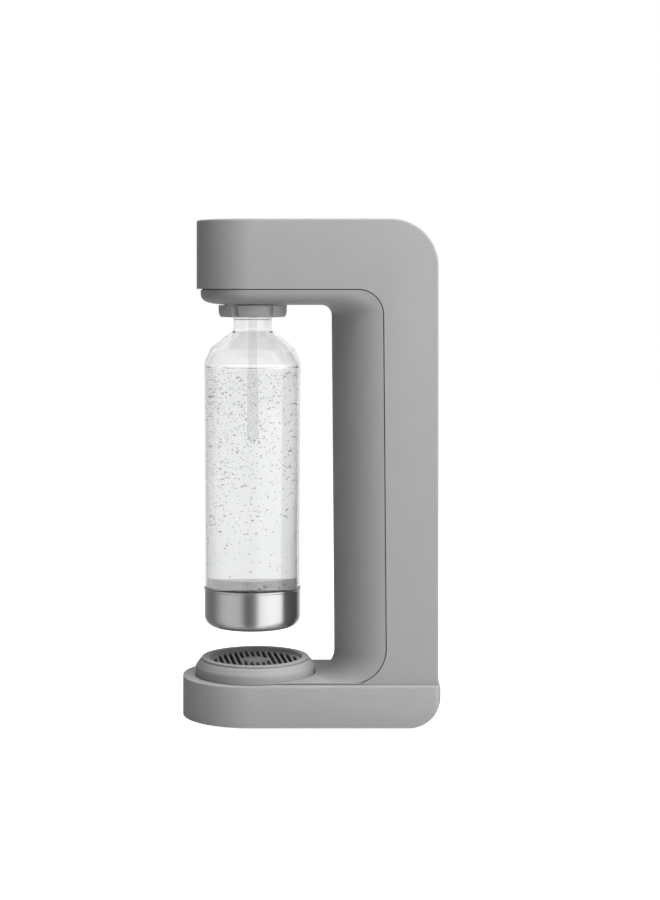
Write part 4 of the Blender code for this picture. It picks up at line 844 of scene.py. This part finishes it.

# ---- Steel cup --------------------------------------------------------------------------------
# The bottle stands in a deep-drawn steel cup with a rolled bead at its rim. It is brushed round and
# round, so its highlights run up and down. A grey see-through band above its rim is painted shade.
brushed_steel, tree, shader = new_coat("brushed_steel")
shader.inputs["Metallic"].default_value = 1.0
shader.inputs["Anisotropic"].default_value = 0.85
shader.inputs["Anisotropic Rotation"].default_value = 0.25
about = node(tree, 'ShaderNodeTangent', direction_type='RADIAL', axis='Z')
spot = node(tree, 'ShaderNodeTexCoord')
stretch = node(tree, 'ShaderNodeMapping', {"Location": tuple(-bottle_axis), "Scale": (3.0, 3.0, 260.0)})
lines = node(tree, 'ShaderNodeTexNoise', {"Scale": 9.0, "Detail": 5.0, "Roughness": 0.65})
smudge = node(tree, 'ShaderNodeTexNoise', {"Scale": 26.0, "Detail": 4.0})
tone = node(tree, 'ShaderNodeMapRange', {"To Min": 0.60, "To Max": 0.76})
colour = node(tree, 'ShaderNodeVectorMath', {0: (1.0, 0.995, 0.985)}, operation='SCALE')
rough = node(tree, 'ShaderNodeMapRange', {"To Min": 0.26, "To Max": 0.31})
groove = node(tree, 'ShaderNodeBump', {"Strength": 0.2, "Distance": 0.02 * MM})
links(tree, (spot, "Object", stretch, "Vector"), (stretch, "Vector", lines, "Vector"),
      (spot, "Object", smudge, "Vector"), (lines, "Fac", tone, "Value"),
      (tone, "Result", colour, "Scale"), (colour, "Vector", shader, "Base Color"),
      (smudge, "Fac", rough, "Value"), (rough, "Result", shader, "Roughness"),
      (lines, "Fac", groove, "Height"), (groove, "Normal", shader, "Normal"),
      (about, "Tangent", shader, "Tangent"))

cup_path = fillet([(0, 76.9), (41.6, 76.9, 9.5), (41.6, 108.8, 0.5), (42.4, 109.4, 0.5),
                   (42.4, 110.6, 0.5), (41.5, 111.1, 0.3), (40.8, 110.4, 0.2), (40.8, 77.7, 8.7),
                   (0, 77.7)], 9)
steel_cup = turned("steel_cup", brushed_steel, bottle_axis, cup_path, 128, 45)
fit(steel_cup, "bottle", "bottle_steel", "bottle_base_cup")

# Painted shade: a grey see-through band darkens the bottle's foot above the cup, standing for the dark
# bottom seen through the wall.
foot_shade_tint = clear("painted_foot_shade", (0.66, 0.66, 0.66), 0.0, 1.01, 0.0, 40.0, 0.1)
band = fillet([(39.2, 110.9), (40.1, 110.9), (40.1, 120.6, 0.3), (39.2, 120.6, 0.3)], 3)
foot_band = turned("foot_band", foot_shade_tint, bottle_axis, band + band[:1], 128, 45)
fit(foot_band, "bottle", "clear_bottle")

# ---- Nozzle tube and tip ----------------------------------------------------------------------
# The gas goes down a thin tube that reaches into the water, and out of a small tip screwed on its end.
tube_low, tube_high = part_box("nozzle_tube")
tip_low, tip_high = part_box("nozzle_tip")
tube_plastic = clear("tube_plastic", (0.90, 0.90, 0.90), 0.12, 1.2, 0.01, 300.0, 0.3)
tube_radius = tube_high.x
tip_radius = tip_high.x
profile = fillet([(0, tube_low.z), (tube_radius, tube_low.z, 0.4 * MM), (tube_radius, tube_high.z, 0.4 * MM),
                  (0, tube_high.z)], 4)
gas_tube = turned("gas_tube", tube_plastic, bottle_axis, profile, 40, unit=1.0)
fit(gas_tube, "root", "frame_plastic", "nozzle_tube")
profile = fillet([(0, tip_low.z), (1.3 * MM, tip_low.z, 0.3 * MM), (1.3 * MM, tip_low.z + 2 * MM),
                  (tip_radius, tip_low.z + 4.5 * MM, 1 * MM), (tip_radius, tip_high.z, 0.3 * MM),
                  (0, tip_high.z)], 4)
gas_tip = turned("gas_tip", tube_plastic, bottle_axis, profile, 40, unit=1.0)
fit(gas_tip, "root", "steel", "nozzle_tip")

# ---- Drip tray --------------------------------------------------------------------------------
# A round moulded tray sits in a ring of the deck and lifts out. It has a rounded flank, a flat
# shoulder that carries the grille's flange, and a well that catches drips.
tray_profile = fillet([(0, 38), (38, 38, 1.5), (40.6, 41, 1.0), (40.6, 48.4, 0.4), (46.6, 48.4, 1.2),
                       (48.6, 47.0, 3.0), (51.3, 43.0, 2.5), (51.6, 41.0, 1.0), (51.6, 35.4, 0.4),
                       (50.2, 35.4, 0.3), (50.2, 41.2, 1.2), (46.8, 45.6, 2.0), (43.0, 46.6, 0.6),
                       (42.4, 40.2, 1.0), (38.6, 36.0, 1.0), (0, 36.0)], 6)
tray_dish = turned("tray_dish", liner_plastic, tray_axis, tray_profile, 144)
fit(tray_dish, "tray", "liner_plastic", "drip_tray")

# ---- Drip grille ------------------------------------------------------------------------------
# The grille is a loose moulded disc with a flange that rests on the tray. Long slots are cut straight
# across it, up to a plain boss at its centre that is dished a little.
grille_plastic = moulded("grille_plastic", (0.30, 0.30, 0.30), 0.50)
SLOT_PITCH = 4.9 * MM
SLOT_WIDTH = 3.0 * MM
SLOT_REACH = 37 * MM
GRILLE_TURN = math.radians(8)
BOSS = 11.5 * MM
GRILLE_TOP = 47.2 * MM
GRILLE_THICK = 2.0 * MM
bm = bmesh.new()
outer = chain(bm, ring_points(Vector((0, 0, 0)), 38.9 * MM, GRILLE_TOP, 96))
holes = []
for k in range(-7, 8):
    middle = k * SLOT_PITCH
    far = math.sqrt(SLOT_REACH ** 2 - (abs(middle) + SLOT_WIDTH / 2) ** 2)
    near_gap = math.sqrt(BOSS ** 2 - middle ** 2) if abs(middle) < BOSS else 0.0
    spans = [(-far, far)] if near_gap == 0 else [(-far, -near_gap), (near_gap, far)]
    for from_x, to_x in spans:
        if to_x - from_x < SLOT_WIDTH:
            continue
        near, beyond = middle - SLOT_WIDTH / 2, middle + SLOT_WIDTH / 2
        corners = ((from_x, near), (to_x, near), (to_x, beyond), (from_x, beyond))
        path = [(x, y, 1.2 * MM) for x, y in corners]
        holes += chain(bm, [Vector((p.x, p.y, GRILLE_TOP)) for p in fillet(path, 4)])
bmesh.ops.triangle_fill(bm, use_beauty=True, use_dissolve=False, edges=outer + holes)
face_out(bm)
extrude_up(bm, bm.faces[:], (0, 0, -GRILLE_THICK))
bmesh.ops.rotate(bm, verts=bm.verts, cent=(0, 0, 0), matrix=Matrix.Rotation(GRILLE_TURN, 3, 'Z'))
bmesh.ops.translate(bm, verts=bm.verts, vec=tray_axis)
grille_disc = piece(bm, "grille_disc", grille_plastic)
round_edges(grille_disc, 0.35 * MM, 2, 50)
fit(grille_disc, "grille", "liner_plastic", "drip_grille")

flange = fillet([(38.6, 47.2), (39.0, 47.2, 0.6), (40.2, 49.6, 0.8), (40.9, 50.1, 0.6),
                 (46.0, 50.1, 0.4), (46.4, 49.6, 0.3), (46.4, 48.7, 0.2), (40.3, 48.7, 0.3),
                 (40.1, 45.3, 0.4), (38.6, 45.3)], 5)
grille_rim = turned("grille_rim", grille_plastic, tray_axis, flange + flange[:1], 144)
fit(grille_rim, "grille", "liner_plastic")
boss = fillet([(0, 46.6), (6.0, 46.75), (9.6, 47.25, 0.8), (10.4, 47.75, 0.4), (11.2, 47.5, 0.4),
               (11.3, 46.4), (0, 46.4)], 5)
grille_boss = turned("grille_boss", grille_plastic, tray_axis, boss, 72)
fit(grille_boss, "grille", "liner_plastic")

# ---- What is inside ---------------------------------------------------------------------------
# The frame, valve, lever, gas cylinder and its hose are the solid model's own parts. Each gets the
# finish of its real stuff: glass-filled frame plastic, zinc-plated steel, brass, painted steel, rubber.


def metal(name, colour, roughness, brushed, scratches):
    """A bare or plated metal, with the fine lines of its machining and a change of gloss."""
    made, tree, shader = new_coat(name)
    shader.inputs["Metallic"].default_value = 1.0
    spot = node(tree, 'ShaderNodeTexCoord')
    drawn = node(tree, 'ShaderNodeMapping', {"Scale": (1.0, 1.0, brushed)})
    lines = node(tree, 'ShaderNodeTexNoise', {"Scale": scratches, "Detail": 4.0, "Roughness": 0.6})
    tone = node(tree, 'ShaderNodeMapRange', {"To Min": 0.82, "To Max": 1.08})
    tint = node(tree, 'ShaderNodeVectorMath', {0: colour}, operation='SCALE')
    rough = node(tree, 'ShaderNodeMapRange', {"To Min": roughness - 0.10, "To Max": roughness + 0.12})
    bump = node(tree, 'ShaderNodeBump', {"Strength": 0.3, "Distance": 0.02 * MM})
    links(tree, (spot, "Object", drawn, "Vector"), (drawn, "Vector", lines, "Vector"),
          (lines, "Fac", tone, "Value"), (tone, "Result", tint, "Scale"),
          (tint, "Vector", shader, "Base Color"), (lines, "Fac", rough, "Value"),
          (rough, "Result", shader, "Roughness"), (lines, "Fac", bump, "Height"),
          (bump, "Normal", shader, "Normal"))
    return made


frame_plastic = moulded("frame_plastic", (0.055, 0.055, 0.058), 0.58, 900.0, 0.04)
cylinder_paint = moulded("cylinder_paint", (0.50, 0.51, 0.52), 0.30, 500.0, 0.02, coat=0.3)
hose_rubber = moulded("hose_rubber", (0.035, 0.035, 0.036), 0.55, 700.0, 0.03)
seal_rubber = moulded("seal_rubber", (0.028, 0.028, 0.028), 0.62, 2200.0, 0.02)
zinc_steel = metal("zinc_steel", (0.62, 0.63, 0.64), 0.34, 5.0, 300.0)
magnet_nickel = metal("magnet_nickel", (0.66, 0.64, 0.60), 0.22, 1.0, 180.0)
turned_brass = metal("turned_brass", (0.74, 0.55, 0.28), 0.30, 14.0, 260.0)
FINISHES = (
    (frame_plastic, ("head_frame", "cylinder_cradle", "nozzle_manifold", "valve_block")),
    (cylinder_paint, ("cylinder_body",)),
    (hose_rubber, ("gas_hose",)),
    (seal_rubber, ("bottle_seal", "plunger_seal", "valve_seal")),
    (black_plastic, ("relief_cap",)),
    (magnet_nickel, ("cover_magnet",)),
    (turned_brass, ("cylinder_valve", "relief_body", "relief_poppet", "valve_plunger", "hose_nut_manifold",
                    "hose_nut_valve")),
    (zinc_steel, ("button_spring", "cover_hinge_pin", "cylinder_valve_pin", "latch_plate", "lever_pin",
                  "press_lever", "relief_spring", "collar_screw_1", "collar_screw_2",
                  *(f"{kind}_screw_{number}" for kind in ("base", "head") for number in (1, 2, 3, 4)))),
)
for finish, names in FINISHES:
    for name in names:
        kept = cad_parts[name]
        if not kept.material_slots:
            kept.data.materials.append(finish)
        for slot in kept.material_slots:
            slot.material = finish
